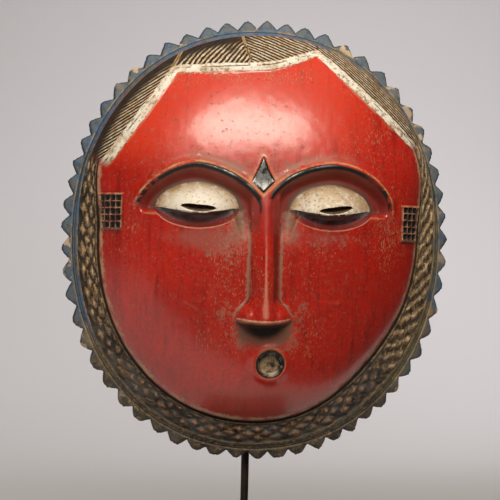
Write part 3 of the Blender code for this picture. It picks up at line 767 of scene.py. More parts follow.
def refine(bm):
    """Split the edges where the carving is fine: eyes, brows, nose, mouth, temples, hair."""
    def wants(edge):
        middle = (edge.verts[0].co + edge.verts[1].co) / 2
        if any(vert.co.y < 1 - TINY for vert in edge.verts) or edge.calc_length() < FINE_LENGTH:
            return False
        x, z = middle.x, middle.z
        across = (abs(x - MIDLINE_X) - EYE_X) / FINE_EYE_HALF_WIDTH
        eye = across ** 2 + ((z - FINE_EYE_Z) / FINE_EYE_HALF_HEIGHT) ** 2 < 1
        ridge = abs(x - NOSE_X) < FINE_NOSE_HALF_WIDTH and FINE_NOSE_FROM < z < FINE_NOSE_TO
        lips = math.hypot(x - MOUTH_X, z - MOUTH_Z) < FINE_MOUTH_RADIUS
        scars = any(abs(x - a) < FINE_TEMPLE_HALF_WIDTH and abs(z - b) < FINE_TEMPLE_HALF_HEIGHT
                    for a, b in TEMPLES)
        return eye or ridge or lips or scars

    edges = [edge for edge in bm.edges if wants(edge)]
    bmesh.ops.subdivide_edges(bm, edges=edges, cuts=1, use_grid_fill=True)


def carve(points):
    """Flat carving-grid points with their level to metres on the finished form."""
    x, level, z = points[:, 0].copy(), points[:, 1].copy(), points[:, 2].copy()
    face = front(x, z)
    share, bearing = reach(x, z)
    rim = ramp(share, face_edge(bearing), face_edge(bearing) + 0.02)
    for seed, (height, more, size) in enumerate((HAND_WAVE, KNIFE_WAVE), 1):
        face = face + (height + more * rim) * wander(x, z, size, seed) * ramp(level, 0.9, 1.0)
    height, size = ADZE_WAVE
    floor = hollow_floor(x, z) + height * wander(x, z, size, 3) - HOLLOW_EXTRA
    depth = np.where(level >= 0, face * level, -floor * level)
    out = np.empty_like(points)
    out[:, 0] = x * UNIT
    out[:, 1] = MASK_BACK_Y - depth * UNIT
    out[:, 2] = MASK_MIDDLE_Z + z * UNIT
    return out


def read_points(mesh):
    """Vertex positions as an array."""
    points = np.empty(len(mesh.vertices) * 3, np.float32)
    mesh.vertices.foreach_get("co", points)
    return points.reshape(-1, 3).astype(float)


def write_points(mesh, points):
    """Vertex positions from an array."""
    mesh.vertices.foreach_set("co", points.astype(np.float32).ravel())
    mesh.update()


def as_mesh(bm, name):
    """The finished bmesh as a mesh."""
    mesh = bpy.data.meshes.new(name)
    bm.to_mesh(mesh)
    bm.free()
    return mesh


def mask_mesh():
    """The carved solid as one closed mesh, before the eyes are pierced."""
    bm = bmesh.new()
    ring = face_sheet(bm)
    ring, outline, bearing = border_sheet(bm, ring)
    back_sheet(bm, ring, outline, bearing)
    refine(bm)
    bmesh.ops.recalc_face_normals(bm, faces=bm.faces)
    mesh = as_mesh(bm, "painted_mask")
    write_points(mesh, carve(read_points(mesh)))
    return mesh


def link(name, mesh):
    """New object at the origin."""
    made = bpy.data.objects.new(name, mesh)
    bpy.context.scene.collection.objects.link(made)
    return made


def slit_cutter(x, z):
    """Slanted lens-shaped prism that pierces one eye, more arched above than below."""
    surface = float(front(np.array([x]), np.array([z]))[0])
    bm = bmesh.new()
    made = bmesh.ops.create_cone(
        bm, cap_ends=True, segments=CUTTER_SIDES, radius1=1, radius2=1, depth=CUTTER_LENGTH)["verts"]
    for vert in made:
        across, up, along = vert.co.x, vert.co.y, vert.co.z
        tall = SLIT_HEIGHT * (SLIT_ARCH if up > 0 else SLIT_SAG)
        lean = along * math.tan(SLIT_LEAN)
        vert.co = (
            (x + across * SLIT_WIDTH / 2) * UNIT,
            MASK_BACK_Y - (surface - along) * UNIT,
            MASK_MIDDLE_Z + (z + up * tall + lean) * UNIT)
    bmesh.ops.recalc_face_normals(bm, faces=bm.faces)
    return link("slit_cutter", as_mesh(bm, "slit_cutter"))


def cut_out(piece, cutters):
    """Cut the cutters out of a piece, keep the result as its own mesh and drop the cutters."""
    for cutter in cutters:
        modifier = piece.modifiers.new("cut", "BOOLEAN")
        modifier.operation = "DIFFERENCE"
        modifier.solver = "EXACT"
        modifier.object = cutter
    graph = bpy.context.evaluated_depsgraph_get()
    whole = bpy.data.meshes.new_from_object(piece.evaluated_get(graph))
    piece.modifiers.clear()
    piece.data = whole
    whole.materials.clear()
    for cutter in cutters:
        bpy.data.objects.remove(cutter, do_unlink=True)


def strands(x, z):
    """Running position across the hair's fine cuts, counted in cuts, and distance to the partings."""
    up = z - PARTING_Z
    part_x = PARTING_X - PARTING_LEAN * up + PARTING_CURVE * up ** 2
    second_x = SECOND_PARTING_X + SECOND_PARTING_LEAN * (z - SECOND_PARTING_Z)
    side_x = SIDE_HAIR_X + SIDE_HAIR_LEAN * (z - SIDE_HAIR_Z)

    def across(angle, pitch, curve):
        slant = math.radians(angle)
        return (-x * math.sin(slant) + z * math.cos(slant) + curve * (z - HAIRLINE_Z) ** 2) / pitch

    field = np.where(x < part_x, across(*HAIR_LEFT), across(*HAIR_RIGHT))
    field = np.where(x < second_x, across(*HAIR_STRIP), field)
    field = np.where(x > side_x, -hairline_away(x, z) / SIDE_HAIR_PITCH, field)
    parting = np.minimum(np.abs(x - part_x) * 0.96, np.abs(x - second_x) * 0.87)
    return field, parting


def hollowness(x, z, span):
    """How far the front lies below its surroundings, in units; negative on ridges."""
    total = np.zeros_like(x)
    for turn in range(8):
        angle = math.radians(45 * turn)
        total += front(x + span * math.cos(angle), z + span * math.sin(angle))
    return total / 8 - front(x, z)


def worn_places(x, z, spots):
    """Sum of soft round spots, each a middle, two half widths and a strength."""
    total = np.zeros_like(x)
    for middle_x, middle_z, half_x, half_z, strength in spots:
        total += strength * np.exp(-((x - middle_x) / half_x) ** 2 - ((z - middle_z) / half_z) ** 2)
    return np.minimum(total, 1)


def nose_marks(x, z):
    """Painted shadow under the nose and down its right flank, painted highlights on its ridge and lower
    edge, grime and wear.
    """
    off = np.abs(x - NOSE_X - 1)
    below = NOSE_BASE_Z - NOSE_TIP_DROP * (1 - (x / NOSTRIL_HALF_WIDTH) ** 2) - z
    low = np.maximum(below, 0)
    started = ramp(below, -1.4, 0.4)
    inner = bump(np.abs(x - MIDLINE_X), 15.5, 6.0)
    flank = bump(nose_half(z) - np.abs(x - NOSE_X), -0.9, 1.5)
    crest = bump(x, NOSE_X, 0.7 + 1.9 * ramp(z, -16, -48))
    return {
        "nostril": started * ramp(off + 0.5 * low, 19, 6) * ramp(below, 14, 4),
        "nose_dusk": started * ramp(off + 0.3 * low, 22, 15) * ramp(below, 20, 7),
        "nose_rim": bump(below, -1.5, 0.8) * ramp(np.abs(x), 18.5, 16),
        "nose_top": bump(x, NOSE_X, 3.2) * ramp(z, -4, 10) * ramp(z, 36, 26),
        "nose_line": flank * ramp(z, NOSE_BASE_Z - 2, NOSE_BASE_Z + 4) * ramp(z, 24, 12),
        "nose_crest": crest * ramp(z, 8, -8) * ramp(z, NOSE_BASE_Z, NOSE_BASE_Z + 3),
        "nose_shade": bump(x - NOSE_X, 6.4, 2.0) * ramp(z, 32, 18) * ramp(z, -44, -34),
        "inner_corner": inner * ramp(z, -12, 8) * ramp(z, 23, 14),
    }


def measure(mesh):
    """Distances to the carved lines, shares of wear and where light and shade are painted, stored for the
    paint.
    """
    points = read_points(mesh)
    x = points[:, 0] / UNIT
    z = (points[:, 2] - MASK_MIDDLE_Z) / UNIT
    depth = (MASK_BACK_Y - points[:, 1]) / UNIT
    share, bearing = reach(x, z)
    edge = face_edge(bearing)
    count = tooth_count(bearing)
    height, number = lozenges(x, z)
    field, parting = strands(x, z)
    block, pits = temple_cells(x, z)
    blue = 0.22 + 0.78 * arc(bearing, 100, 207, 14) + 0.45 * arc(bearing, 46, 104, 10)
    values = {
        "edge_mm": (share - edge) * HALF_WIDTH,
        "border": (share - edge) / (TOOTH_ROOT - edge),
        "rim_mm": (TOOTH_ROOT - share) * HALF_WIDTH,
        "tooth_mm": (tooth_outline(count) - share) * HALF_WIDTH,
        "tooth_chance": scatter(np.round(count) % TEETH, 17),
        "lozenge": height,
        "lozenge_chance": number,
        "hairline_mm": hairline_away(x, z),
        "hair_sector": in_hair_sector(bearing),
        "strand": field,
        "parting_mm": parting,
        "brow_mm": brow_inside(x, z),
        "brow_fade": brow_fade(x, z),
        # painted light: where the forehead's red is painted brighter, fading towards the right side
        "forehead": ramp(z, 26, 74) * ramp(x, 100, 30),
        "lid_age": ramp(x, -60, 70),
        "lid_mm": (1 - lid_share(x, z)) * LID_HEIGHT,
        "fall": lower_fall(x, z),
        "mark_mm": mark_inside(x, z),
        "block_mm": block,
        "pit": pits,
        "cavity": hollowness(x, z, 1.8),
        "rubbed": worn_places(x, z, RUBBED),
        "scuffed": worn_places(x, z, SCUFFED),
        "hazed": worn_places(x, z, HAZED),
        "outward": np.abs(x - MIDLINE_X),
        "mouth_turn": np.arctan2(z - MOUTH_Z, x - MOUTH_X),
        "mouth_mm": np.hypot(x - MOUTH_X, z - MOUTH_Z),
        "blueness": blue + 0.3 * arc(bearing, 340, 46, 8),
        # the lower border, where it faces down, is painted darker and browner: partly painted shade, partly
        # grime
        "lower_shade_and_grime": arc(bearing, 210, 318, 12),
        "sparse": arc(bearing, 208, 320, 8),
        "slanting": slanting(bearing),
        # dusty pink at the bottom of the chin: dust, and a painted reflection of the pale floor
        "bloom": bump(x, 2, 50) * ramp(z, -80, -98),
        "behind_mm": front(x, z) - depth,
    }
    for name, numbers in (*values.items(), *nose_marks(x, z).items()):
        layer = mesh.attributes.new(name, "FLOAT", "POINT")
        layer.data.foreach_set("value", np.asarray(numbers, np.float32))


class Wire:
    """A socket that Python arithmetic extends with Math nodes."""

    def __init__(self, look, socket):
        self.look = look
        self.socket = socket

    def maths(self, operation, *values):
        """Math node over the values, which are wires or numbers."""
        return self.look.node("ShaderNodeMath", {"operation": operation}, dict(enumerate(values)))

    def __add__(self, other):
        return self.maths("ADD", self, other)

    def __radd__(self, other):
        return self.maths("ADD", other, self)

    def __sub__(self, other):
        return self.maths("SUBTRACT", self, other)

    def __rsub__(self, other):
        return self.maths("SUBTRACT", other, self)

    def __mul__(self, other):
        return self.maths("MULTIPLY", self, other)

    def __rmul__(self, other):
        return self.maths("MULTIPLY", other, self)

    def abs(self):
        """Size without sign."""
        return self.maths("ABSOLUTE", self)

    def sine(self):
        """Sine of radians."""
        return self.maths("SINE", self)

    def most(self, other):
        """The larger of two."""
        return self.maths("MAXIMUM", self, other)

    def ramp(self, start, end):
        """Smooth step from 0 at start to 1 at end."""
        low, high = (start, end) if start < end else (end, start)
        first, last = (0.0, 1.0) if start < end else (1.0, 0.0)
        values = {"Value": self, "From Min": low, "From Max": high, "To Min": first, "To Max": last}
        return self.look.node("ShaderNodeMapRange", {"interpolation_type": "SMOOTHSTEP"}, values)

    def near(self, middle, half_width):
        """1 at middle, falling to 0 half_width away."""
        return (self - middle).abs().ramp(half_width, half_width * 0.25)


class Look:
    """A material being made: its nodes, and the layers of paint so far."""

    def __init__(self, name, colour, rough):
        self.material = bpy.data.materials.new(name)
        self.material.use_nodes = True
        self.tree = self.material.node_tree
        self.shader = self.tree.nodes["Principled BSDF"]
        self.place = self.node("ShaderNodeTexCoord", output="Object")
        self.colour = colour
        self.rough = rough
        self.height = 0.0

    def node(self, kind, settings=None, values=None, output=0):
        """One node with its settings, then its sockets' values or links."""
        made = self.tree.nodes.new(kind)
        for name, value in (settings or {}).items():
            setattr(made, name, value)
        for key, value in (values or {}).items():
            if isinstance(value, Wire):
                self.tree.links.new(value.socket, made.inputs[key])
            else:
                made.inputs[key].default_value = value
        return Wire(self, made.outputs[output])

    def stored(self, name):
        """A number kept on the mesh."""
        return self.node("ShaderNodeAttribute", {"attribute_name": name}, output="Fac")

    def stretched(self, stretch):
        """Object position, with each axis multiplied where a stretch is given."""
        if stretch is None:
            return self.place
        return self.node("ShaderNodeMapping", {}, {"Vector": self.place, "Scale": stretch})

    def grain(self, scale, detail=3, rough=0.55, stretch=None):
        """Noise from 0 to 1, its scale counted per metre."""
        values = {"Vector": self.stretched(stretch), "Scale": scale, "Detail": detail, "Roughness": rough}
        return self.node("ShaderNodeTexNoise", {}, values, output="Fac")

    def jitter(self, height, *grain, **stretch):
        """Noise round 0, multiplied by height."""
        return (self.grain(*grain, **stretch) - 0.5) * height

    def flakes(self, scale, stretch=None):
        """Distance to the nearest of many scattered points, 0 to about 1."""
        values = {"Vector": self.stretched(stretch), "Scale": scale}
        return self.node("ShaderNodeTexVoronoi", {"feature": "F1"}, values, output="Distance")

    def mix(self, first, second, share):
        """Colour between two; plain colours are mixed here, without a node."""
        if not any(isinstance(value, Wire) for value in (first, second, share)):
            return tuple(start + (end - start) * share for start, end in zip(first, second))
        values = {0: share, 6: as_colour(first), 7: as_colour(second)}
        return self.node("ShaderNodeMix", {"data_type": "RGBA"}, values, output=2)

    def paint(self, colour, rough, mask, lift=0.0):
        """Lay a coat over what is there, where the mask says; lift is its height."""
        self.colour = self.mix(self.colour, colour, mask)
        self.rough = self.rough + mask * (rough - self.rough)
        self.height = self.height + mask * lift

    def finish(self, bump_distance, gloss=None, metal=0.0):
        """Join the layers to the shader; gloss is the coat's weight."""
        tree = self.tree
        tree.links.new(self.colour.socket, self.shader.inputs["Base Color"])
        tree.links.new(self.rough.socket, self.shader.inputs["Roughness"])
        self.shader.inputs["Metallic"].default_value = metal
        if gloss:
            tree.links.new(gloss.socket, self.shader.inputs["Coat Weight"])
            self.shader.inputs["Coat Roughness"].default_value = COAT_ROUGHNESS
            self.shader.inputs["Specular IOR Level"].default_value = LACQUER_SPECULAR
        values = {"Height": self.height, "Distance": bump_distance, "Strength": 1.0}
        bump_node = self.node("ShaderNodeBump", {}, values, output="Normal")
        tree.links.new(bump_node.socket, self.shader.inputs["Normal"])
        return self.material


def as_colour(value):
    """A wire as it is, or three numbers with an alpha added."""
    return value if isinstance(value, Wire) else (*value[:3], 1.0)


def pigment(red, green, blue):
    """Linear colour from the 0 to 255 values that a paint chart gives."""
    def linear(level):
        level /= 255
        return level / 12.92 if level <= 0.04045 else ((level + 0.055) / 1.055) ** 2.4
    return tuple(linear(level) for level in (red, green, blue))


def colour_property(name, description, default):
    """A colour that the user can change in the panel."""
    return FloatVectorProperty(
        name=name, description=description, subtype="COLOR", size=3, min=0, max=1, default=default)


class MaskColours(bpy.types.PropertyGroup):
    """Paints and woods of the mask."""

    red: colour_property("Red lacquer", "Glossy red of the face", pigment(202, 34, 16))
    # bright_red is also painted light: it brightens the upper forehead, where the light falls, less towards
    # its right side
    bright_red: colour_property("Bright red", "Cleaner, warmer red of the forehead", pigment(232, 58, 26))
    deep_red: colour_property("Deep red", "Red where it is thicker or rubbed dark", pigment(128, 12, 7))
    # maroon is partly painted shade: it darkens the undersides of the brows and lower lids and the shade
    # round the nose
    maroon: colour_property("Maroon", "Underside of the brows and lower lids", pigment(150, 50, 44))
    orange: colour_property("Worn orange", "Specks and thin places of the red", pigment(222, 116, 70))
    smear: colour_property("Grey pink", "Dull rubbed places by brows, nose and mouth", pigment(176, 112, 98))
    white: colour_property("White clay", "Hairline band", pigment(246, 233, 218))
    lid: colour_property("Lid cream", "Upper eyelids", pigment(224, 194, 160))
    blue: colour_property("Rim blue", "Teeth and outer band", pigment(80, 108, 138))
    # slate is also the painted grey sheen on the black of the brows, kite and eye crescents
    slate: colour_property("Slate", "Blue-grey left in the lozenge cuts", pigment(98, 104, 110))
    olive: colour_property("Olive dust", "Old dust along edges", pigment(132, 118, 92))
    black: colour_property("Soot black", "Brows, eye crescents, mark and mouth", pigment(24, 20, 19))
    hair: colour_property("Hair brown", "Ground of the hair and the border", pigment(56, 43, 32))
    tan: colour_property("Bare wood", "Wood showing on worn ridges", pigment(194, 154, 108))
    inner: colour_property("Inner wood", "Unpainted hollow and back", pigment(120, 88, 58))


class StandColours(bpy.types.PropertyGroup):
    """Finish of the rod and base."""

    steel: colour_property("Dark steel", "Patinated rod and base", pigment(48, 43, 40))
    rust: colour_property("Brown bloom", "Warmer patches in the patina", pigment(74, 56, 44))
    scratch: colour_property("Bare scratch", "Faint scratches down to the metal", pigment(120, 112, 104))
    roughness: FloatProperty(
        name="Roughness", description="How matt the steel is", default=0.42, min=0, max=1, subtype="FACTOR")


class StandSizes(bpy.types.PropertyGroup):
    """Sizes of the rod and base that the drawing leaves open."""

    rod_sides: IntProperty(name="Rod sides", description="Facets round the rod", default=32, min=8)
    edge: FloatProperty(
        name="Base edge", description="Rounding of the base's edges", default=0.0008, min=0,
        unit="LENGTH", subtype="DISTANCE")


class StudioSettings(bpy.types.PropertyGroup):
    """Camera and lights."""

    distance: FloatProperty(
        name="Camera distance", description="From the lens to the middle of the disc", default=1.3,
        unit="LENGTH", subtype="DISTANCE")
    azimuth: FloatProperty(
        name="Azimuth", description="Turn of the camera round the mask", default=math.radians(-6),
        unit="ROTATION", subtype="ANGLE")
    roll: FloatProperty(
        name="Roll", description="Lean of the camera", default=math.radians(1.3),
        unit="ROTATION", subtype="ANGLE")
    field: FloatProperty(
        name="Field", description="Width of the view at the mask", default=0.317,
        unit="LENGTH", subtype="DISTANCE")
    key_power: FloatProperty(
        name="Key light", description="Power of the large softbox", default=15.5, unit="POWER")
    floor: colour_property("Floor", "Plain pale paper under and behind the stand", pigment(204, 199, 204))
    cloud: colour_property("Paper shade", "Greyer clouds in the paper", pigment(188, 184, 184))
    table: colour_property("Table", "Darker table in front of the paper", pigment(62, 60, 60))


def red_face(look, tone):
    """Red lacquer with brush streaks, dark mottling, scuffs of thin, light paint, and painted light on the
    forehead.
    """
    broad = look.grain(11, 3, 0.5)
    streak = look.grain(55, 5, 0.62, stretch=(3.6, 1, 0.32))
    look.colour = look.mix(tone.red, tone.deep_red, broad.ramp(0.42, 0.74) * 0.45)
    look.paint(tone.deep_red, 0.32, streak.ramp(0.52, 0.70) * 0.5)
    look.paint(tone.deep_red, 0.34, look.grain(560, 4, 0.7).ramp(0.50, 0.68) * 0.55)
    scuffed = look.stored("scuffed")
    # painted light: brighter red over the upper forehead, where the light falls, fading towards the right
    lit_forehead = (look.stored("forehead") + (broad - 0.5) * 0.6).ramp(0.1, 0.95)
    look.paint(tone.bright_red, 0.32, lit_forehead * (1.0 - streak.ramp(0.52, 0.70) * 0.4) * 0.85)
    drag = look.grain(150, 4, 0.7, stretch=(2.6, 1, 0.22))
    dragged = drag.ramp(0.54, 0.70) * (1.0 - lit_forehead)
    look.paint(look.mix(tone.deep_red, tone.black, 0.3), 0.36, dragged * 0.45)
    look.paint(tone.bright_red, 0.36, drag.ramp(0.44, 0.28) * 0.4)
    fleck = look.grain(800, 3, 0.6, stretch=(1.5, 1, 0.6)) + look.grain(45, 3) * 0.30 + scuffed * 0.13
    dust = look.mix(tone.orange, tone.bright_red, 0.3)
    dust = look.mix(dust, look.mix(tone.smear, tone.tan, 0.55), scuffed)
    look.paint(dust, 0.42, fleck.ramp(0.81, 0.90) * 0.7)
    chip = look.grain(330, 5, 0.75, stretch=(1.3, 1, 0.8)) + look.grain(28, 2) * 0.12 + scuffed * 0.12
    look.paint(look.mix(tone.tan, tone.orange, 0.4), 0.46, chip.ramp(0.79, 0.83) * 0.75, -0.3)
    pit = look.grain(520, 2, 0.5) + look.grain(30, 2) * 0.1
    look.paint(look.mix(tone.deep_red, tone.black, 0.7), 0.4, pit.ramp(0.745, 0.79) * 0.7, -0.4)
    look.height = look.height + look.grain(260, 3) * 0.16 + streak * 0.25


def wear_and_painted_light(look, tone):
    """Rubbed grey-pink, darker hollows, light ridges; painted shadow, highlights and reflection round nose
    and chin.
    """
    rub = look.stored("rubbed")
    patch = look.grain(170, 5, 0.7)
    flecked = look.jitter(6.0, 420, 5, 0.8)
    rubbed = (rub + (patch - 0.5) * 1.3 + flecked * rub.ramp(0.0, 0.3)).ramp(0.3, 0.9)
    haze = look.stored("hazed") + (patch - 0.5) * 0.7 + flecked * 0.12
    look.paint(look.mix(tone.smear, tone.deep_red, 0.25), 0.42, haze.ramp(0.15, 1.1) * 0.6)
    look.paint(look.mix(tone.smear, tone.olive, 0.25 + flecked * 0.3), 0.56, rubbed * 0.62)
    # dusty pink at the bottom of the chin: dust, and a painted reflection of the pale floor
    bloom = look.stored("bloom") + (patch - 0.5) * 0.35
    look.paint(look.mix(tone.smear, tone.maroon, 0.5), 0.4, bloom.ramp(0.2, 1.0) * 0.5)
    # painted shadow under the nose: olive grime with black, spreading down from its base
    dusk = look.stored("nose_dusk") + (patch - 0.5) * 0.6 + flecked * 0.6
    shadow = look.mix(look.mix(tone.olive, tone.maroon, 0.35), tone.black, 0.35)
    look.paint(shadow, 0.58, dusk.ramp(0.15, 0.75) * 0.85)
    # painted shadow: the black core of the shade under the nose, with grime
    nostril = look.stored("nostril") + (patch - 0.5) * 0.5
    look.paint(look.mix(tone.hair, tone.black, 0.7), 0.6, nostril.ramp(0.15, 0.9) * 0.95)
    flank = look.stored("nose_line")
    edge = (flank + look.jitter(1.0, 110, 5, 0.7) + flecked * 0.5).ramp(0.35, 0.75)
    look.paint(look.mix(tone.olive, tone.smear, 0.5 + flecked * 0.4), 0.52, edge * 0.8)
    # painted highlight along the nose's lower edge, broken like worn paint
    rim = look.stored("nose_rim") + flecked * 0.35
    look.paint(look.mix(tone.orange, tone.white, 0.45), 0.42, rim.ramp(0.45, 0.85) * 0.75)
    # painted highlight down the nose's ridge, widening to the tip, partly worn paint
    crest = look.stored("nose_crest") + look.jitter(0.5, 160, 4, stretch=(1, 1, 0.4))
    look.paint(look.mix(tone.orange, tone.white, 0.35), 0.32, crest.ramp(0.25, 1.15) * 0.5)
    shade = look.stored("nose_shade") + look.jitter(0.7, 120, 4, 0.6, stretch=(1, 1, 0.4))
    look.paint(look.mix(tone.maroon, tone.black, 0.6), 0.46, shade.ramp(0.3, 0.8) * 0.8)
    cavity = look.stored("cavity") + look.jitter(0.5, 300, 4)
    look.paint(look.mix(tone.deep_red, tone.black, 0.62), 0.45, cavity.ramp(0.25, 1.3) * 0.7)
    ridge = (look.stored("cavity") * -1.0 + look.jitter(0.9, 240, 4)).ramp(0.42, 0.85)
    look.paint(look.mix(tone.orange, tone.tan, 0.5), 0.45, ridge * 0.42)


def brows_and_eyes(look, tone):
    """Black brow line, bare wood above it, cream lids, black and dark red below, with painted shade and
    highlights.
    """
    brow = look.stored("brow_mm")
    lid = look.stored("lid_mm")
    fall = look.stored("fall")
    outward = look.stored("outward")
    jitter = look.jitter(0.9, 240, 3)
    fade = (look.stored("brow_fade") + look.jitter(0.25, 120, 3)).ramp(0.2, 0.8)
    edge = brow + jitter
    patchy = look.grain(120, 4, 0.65)
    above = edge.near(-6.0, 4.2) * outward.ramp(66, 30)
    look.paint(look.mix(tone.smear, tone.olive, 0.35), 0.6, above * patchy.ramp(0.34, 0.56) * 0.66 * fade)
    torn = look.grain(190, 5, 0.8).ramp(0.40, 0.56)
    bare = (edge - outward.ramp(50, 76) * 0.9).near(-3.0, 0.95) * fade * torn
    look.paint(look.mix(tone.orange, tone.tan, look.grain(50, 2).ramp(0.35, 0.55)), 0.5, bare * 0.85)
    # painted shade: the brow's underside is painted dark maroon, and darker still with olive and black in
    # the crease above the lid, partly grime
    under = look.mix(tone.maroon, tone.deep_red, look.grain(90, 3).ramp(0.4, 0.65) * 0.5)
    crease_shade_and_grime = (lid + jitter * 2.4).ramp(-3.4, -0.4)
    under = look.mix(under, look.mix(tone.olive, tone.black, 0.6), crease_shade_and_grime * 0.8)
    look.paint(under, 0.5, edge.ramp(0.2, 1.0) * fade * 0.94)
    broken = 1.0 - outward.ramp(60, 74) * look.grain(190, 2, stretch=(1, 1, 1.6)).ramp(0.42, 0.56) * 0.8
    thick = outward.near(24, 30) * 0.9
    soot = (edge + thick).ramp(-1.7, -1.1) * edge.ramp(1.5, 0.9) * fade * outward.ramp(79.5, 78)
    soot = soot * look.stored("brow_fade").ramp(0.86, 0.97)
    look.paint(tone.black, 0.56, soot * broken)
    # painted highlight: a grey sheen along the upper edge of the black brow line
    sheen = look.mix(tone.slate, tone.white, 0.12)
    shine = edge.near(-1.1, 0.8) * outward.near(24, 26) * patchy.ramp(0.40, 0.58)
    look.paint(sheen, 0.28, soot * shine * 0.85)
    inside = (lid + jitter * 0.5).ramp(0.0, 0.6) * fall.ramp(0.05, -0.01)
    # painted highlight: the cream lid is painted whiter towards the slit, where it faces the light
    creamy = (lid + look.jitter(9.0, 130, 4, 0.6)).ramp(0.5, 8.5)
    look.paint(look.mix(tone.lid, tone.white, creamy), 0.5, inside, 0.25)
    # the lid's outline is darker tan and brown: grime, and painted shade
    rind = (lid + look.jitter(4.4, 200, 4, 0.65)).ramp(2.4, 0.2)
    look.paint(look.mix(tone.tan, tone.hair, 0.35), 0.55, inside * rind * 0.8)
    age = look.stored("lid_age") + look.jitter(1.6, 75, 5, 0.65)
    look.paint(look.mix(tone.tan, tone.lid, 0.4), 0.55, inside * age.ramp(0.35, 1.1) * 0.75)
    stain = look.grain(560, 4, 0.65) + look.stored("lid_age") * 0.03
    look.paint(look.mix(tone.tan, tone.hair, 0.55), 0.55, stain.ramp(0.56, 0.65) * inside * 0.6)
    look.paint(tone.white, 0.5, look.grain(260, 4, 0.6).ramp(0.52, 0.62) * inside * 0.7, 0.2)
    corner = lid.ramp(-1.2, 0.6)
    start = (fall + jitter * 0.05).ramp(-0.02, 0.06)
    # painted shade: the lower lid's dark red is darkened with black for the shade beneath the lid
    lower = look.mix(look.mix(tone.maroon, tone.deep_red, 0.85), tone.black, 0.15)
    look.paint(lower, 0.66, start * fall.ramp(1.0, 0.95) * corner)
    bend = outward.near(EYE_X, EYE_HALF_WIDTH * 1.05) * 0.22
    dark = start * (fall + jitter * 0.05 - bend).ramp(0.44, 0.36) * corner
    # painted highlight: a slate sheen across the middle of the black crescent
    shine = (fall - bend).near(0.2, 0.3) * look.grain(110, 3).ramp(0.3, 0.6)
    look.paint(look.mix(tone.black, tone.slate, shine * 0.9), 0.4, dark)
    rim = fall.near(0.02, 0.10) * outward.near(EYE_X + 0.6, 13.0)
    look.paint(tone.white, 0.5, rim * look.grain(150, 3).ramp(0.42, 0.52) * 0.9)
    worn = (fall + jitter * 0.08).near(1.03, 0.075) * corner * look.grain(230, 5, 0.8).ramp(0.42, 0.56)
    look.paint(look.mix(look.mix(tone.olive, tone.smear, 0.5), tone.orange, 0.2), 0.5, worn * 0.7)


def inner_corners(look, tone):
    """Olive dust where the sockets run down beside the nose."""
    corner = look.stored("inner_corner")
    look.paint(look.colour, 0.62, corner.ramp(0.1, 0.4))
    dust = corner + look.jitter(4.0, 240, 5, 0.8)
    look.paint(look.mix(tone.olive, tone.smear, look.grain(90, 3)), 0.56, dust.ramp(0.3, 1.0) * 0.7)
    top = look.stored("nose_top").ramp(0.2, 0.7)
    look.paint(look.mix(tone.deep_red, tone.red, 0.6), 0.56, top * 0.9)


def forehead_kite(look, tone):
    """Glossy black kite with a painted grey highlight and a worn orange field round its lower end."""
    edge = look.stored("mark_mm")
    inside = edge + look.jitter(0.8, 240, 3)
    field = inside.ramp(-3.0, -1.4) * look.grain(90, 4).ramp(0.38, 0.55)
    low = look.stored("brow_mm").ramp(-9.0, -5.0)
    look.paint(look.mix(tone.orange, tone.tan, 0.3), 0.48, field * (0.35 + low * 0.55))
    look.paint(tone.black, 0.24, inside.ramp(-0.25, 0.25), 0.3)
    # painted highlight: grey sheen on the black inside the kite's outline
    grey = look.mix(tone.slate, tone.white, 0.22)
    look.paint(grey, 0.3, edge.ramp(0.6, 2.2) * look.grain(200, 4, 0.65).ramp(0.34, 0.54) * 0.8)


def mouth_ring(look, tone):
    """Black ring with a painted highlight on the lip's top and a bare, chiselled recess, lighter at its
    lower edge.
    """
    away = look.stored("mouth_mm") + look.jitter(1.1, 260, 3)
    turn = look.stored("mouth_turn")
    top = turn.near(math.pi / 2, 1.2)
    torn = look.grain(260, 5, 0.75).ramp(0.40, 0.54)
    # painted highlight: a pale pink arc on the top of the lip, broken like worn paint
    lip = away.near(MOUTH_RADIUS + 1.7, 1.1) * top * torn
    look.paint(look.mix(tone.smear, tone.orange, 0.4), 0.45, lip * 0.8)
    look.paint(tone.black, 0.5, away.ramp(MOUTH_RADIUS + 0.7, MOUTH_RADIUS + 0.1))
    rough = look.grain(170, 5, 0.75)
    pale = look.mix(tone.slate, tone.white, 0.4)
    flecks = look.mix(tone.black, pale, look.grain(420, 3, 0.7).ramp(0.52, 0.62))
    look.paint(flecks, 0.5, away.ramp(MOUTH_RADIUS - 0.2, MOUTH_RADIUS - 0.9))
    floor = look.mix(look.mix(tone.tan, tone.white, 0.15), tone.hair, rough.ramp(0.44, 0.66))
    low = turn.near(-math.pi / 2, 2.0)
    reach_in = away + (rough - 0.5) * 3.0 - low * 1.2
    look.paint(floor, 0.6, reach_in.ramp(MOUTH_RADIUS - 2.6, MOUTH_RADIUS - 4.2))
    pitted = look.grain(330, 4, 0.7).ramp(0.56, 0.64) * away.ramp(MOUTH_RADIUS, 4.0)
    look.paint(tone.black, 0.6, pitted * 0.8)
    low = turn.near(-1.2, 0.9) * away.near(MOUTH_RADIUS - 1.7, 1.5)
    look.paint(look.mix(tone.white, tone.tan, 0.4), 0.55, low * look.grain(350, 2).ramp(0.40, 0.52) * 0.8)


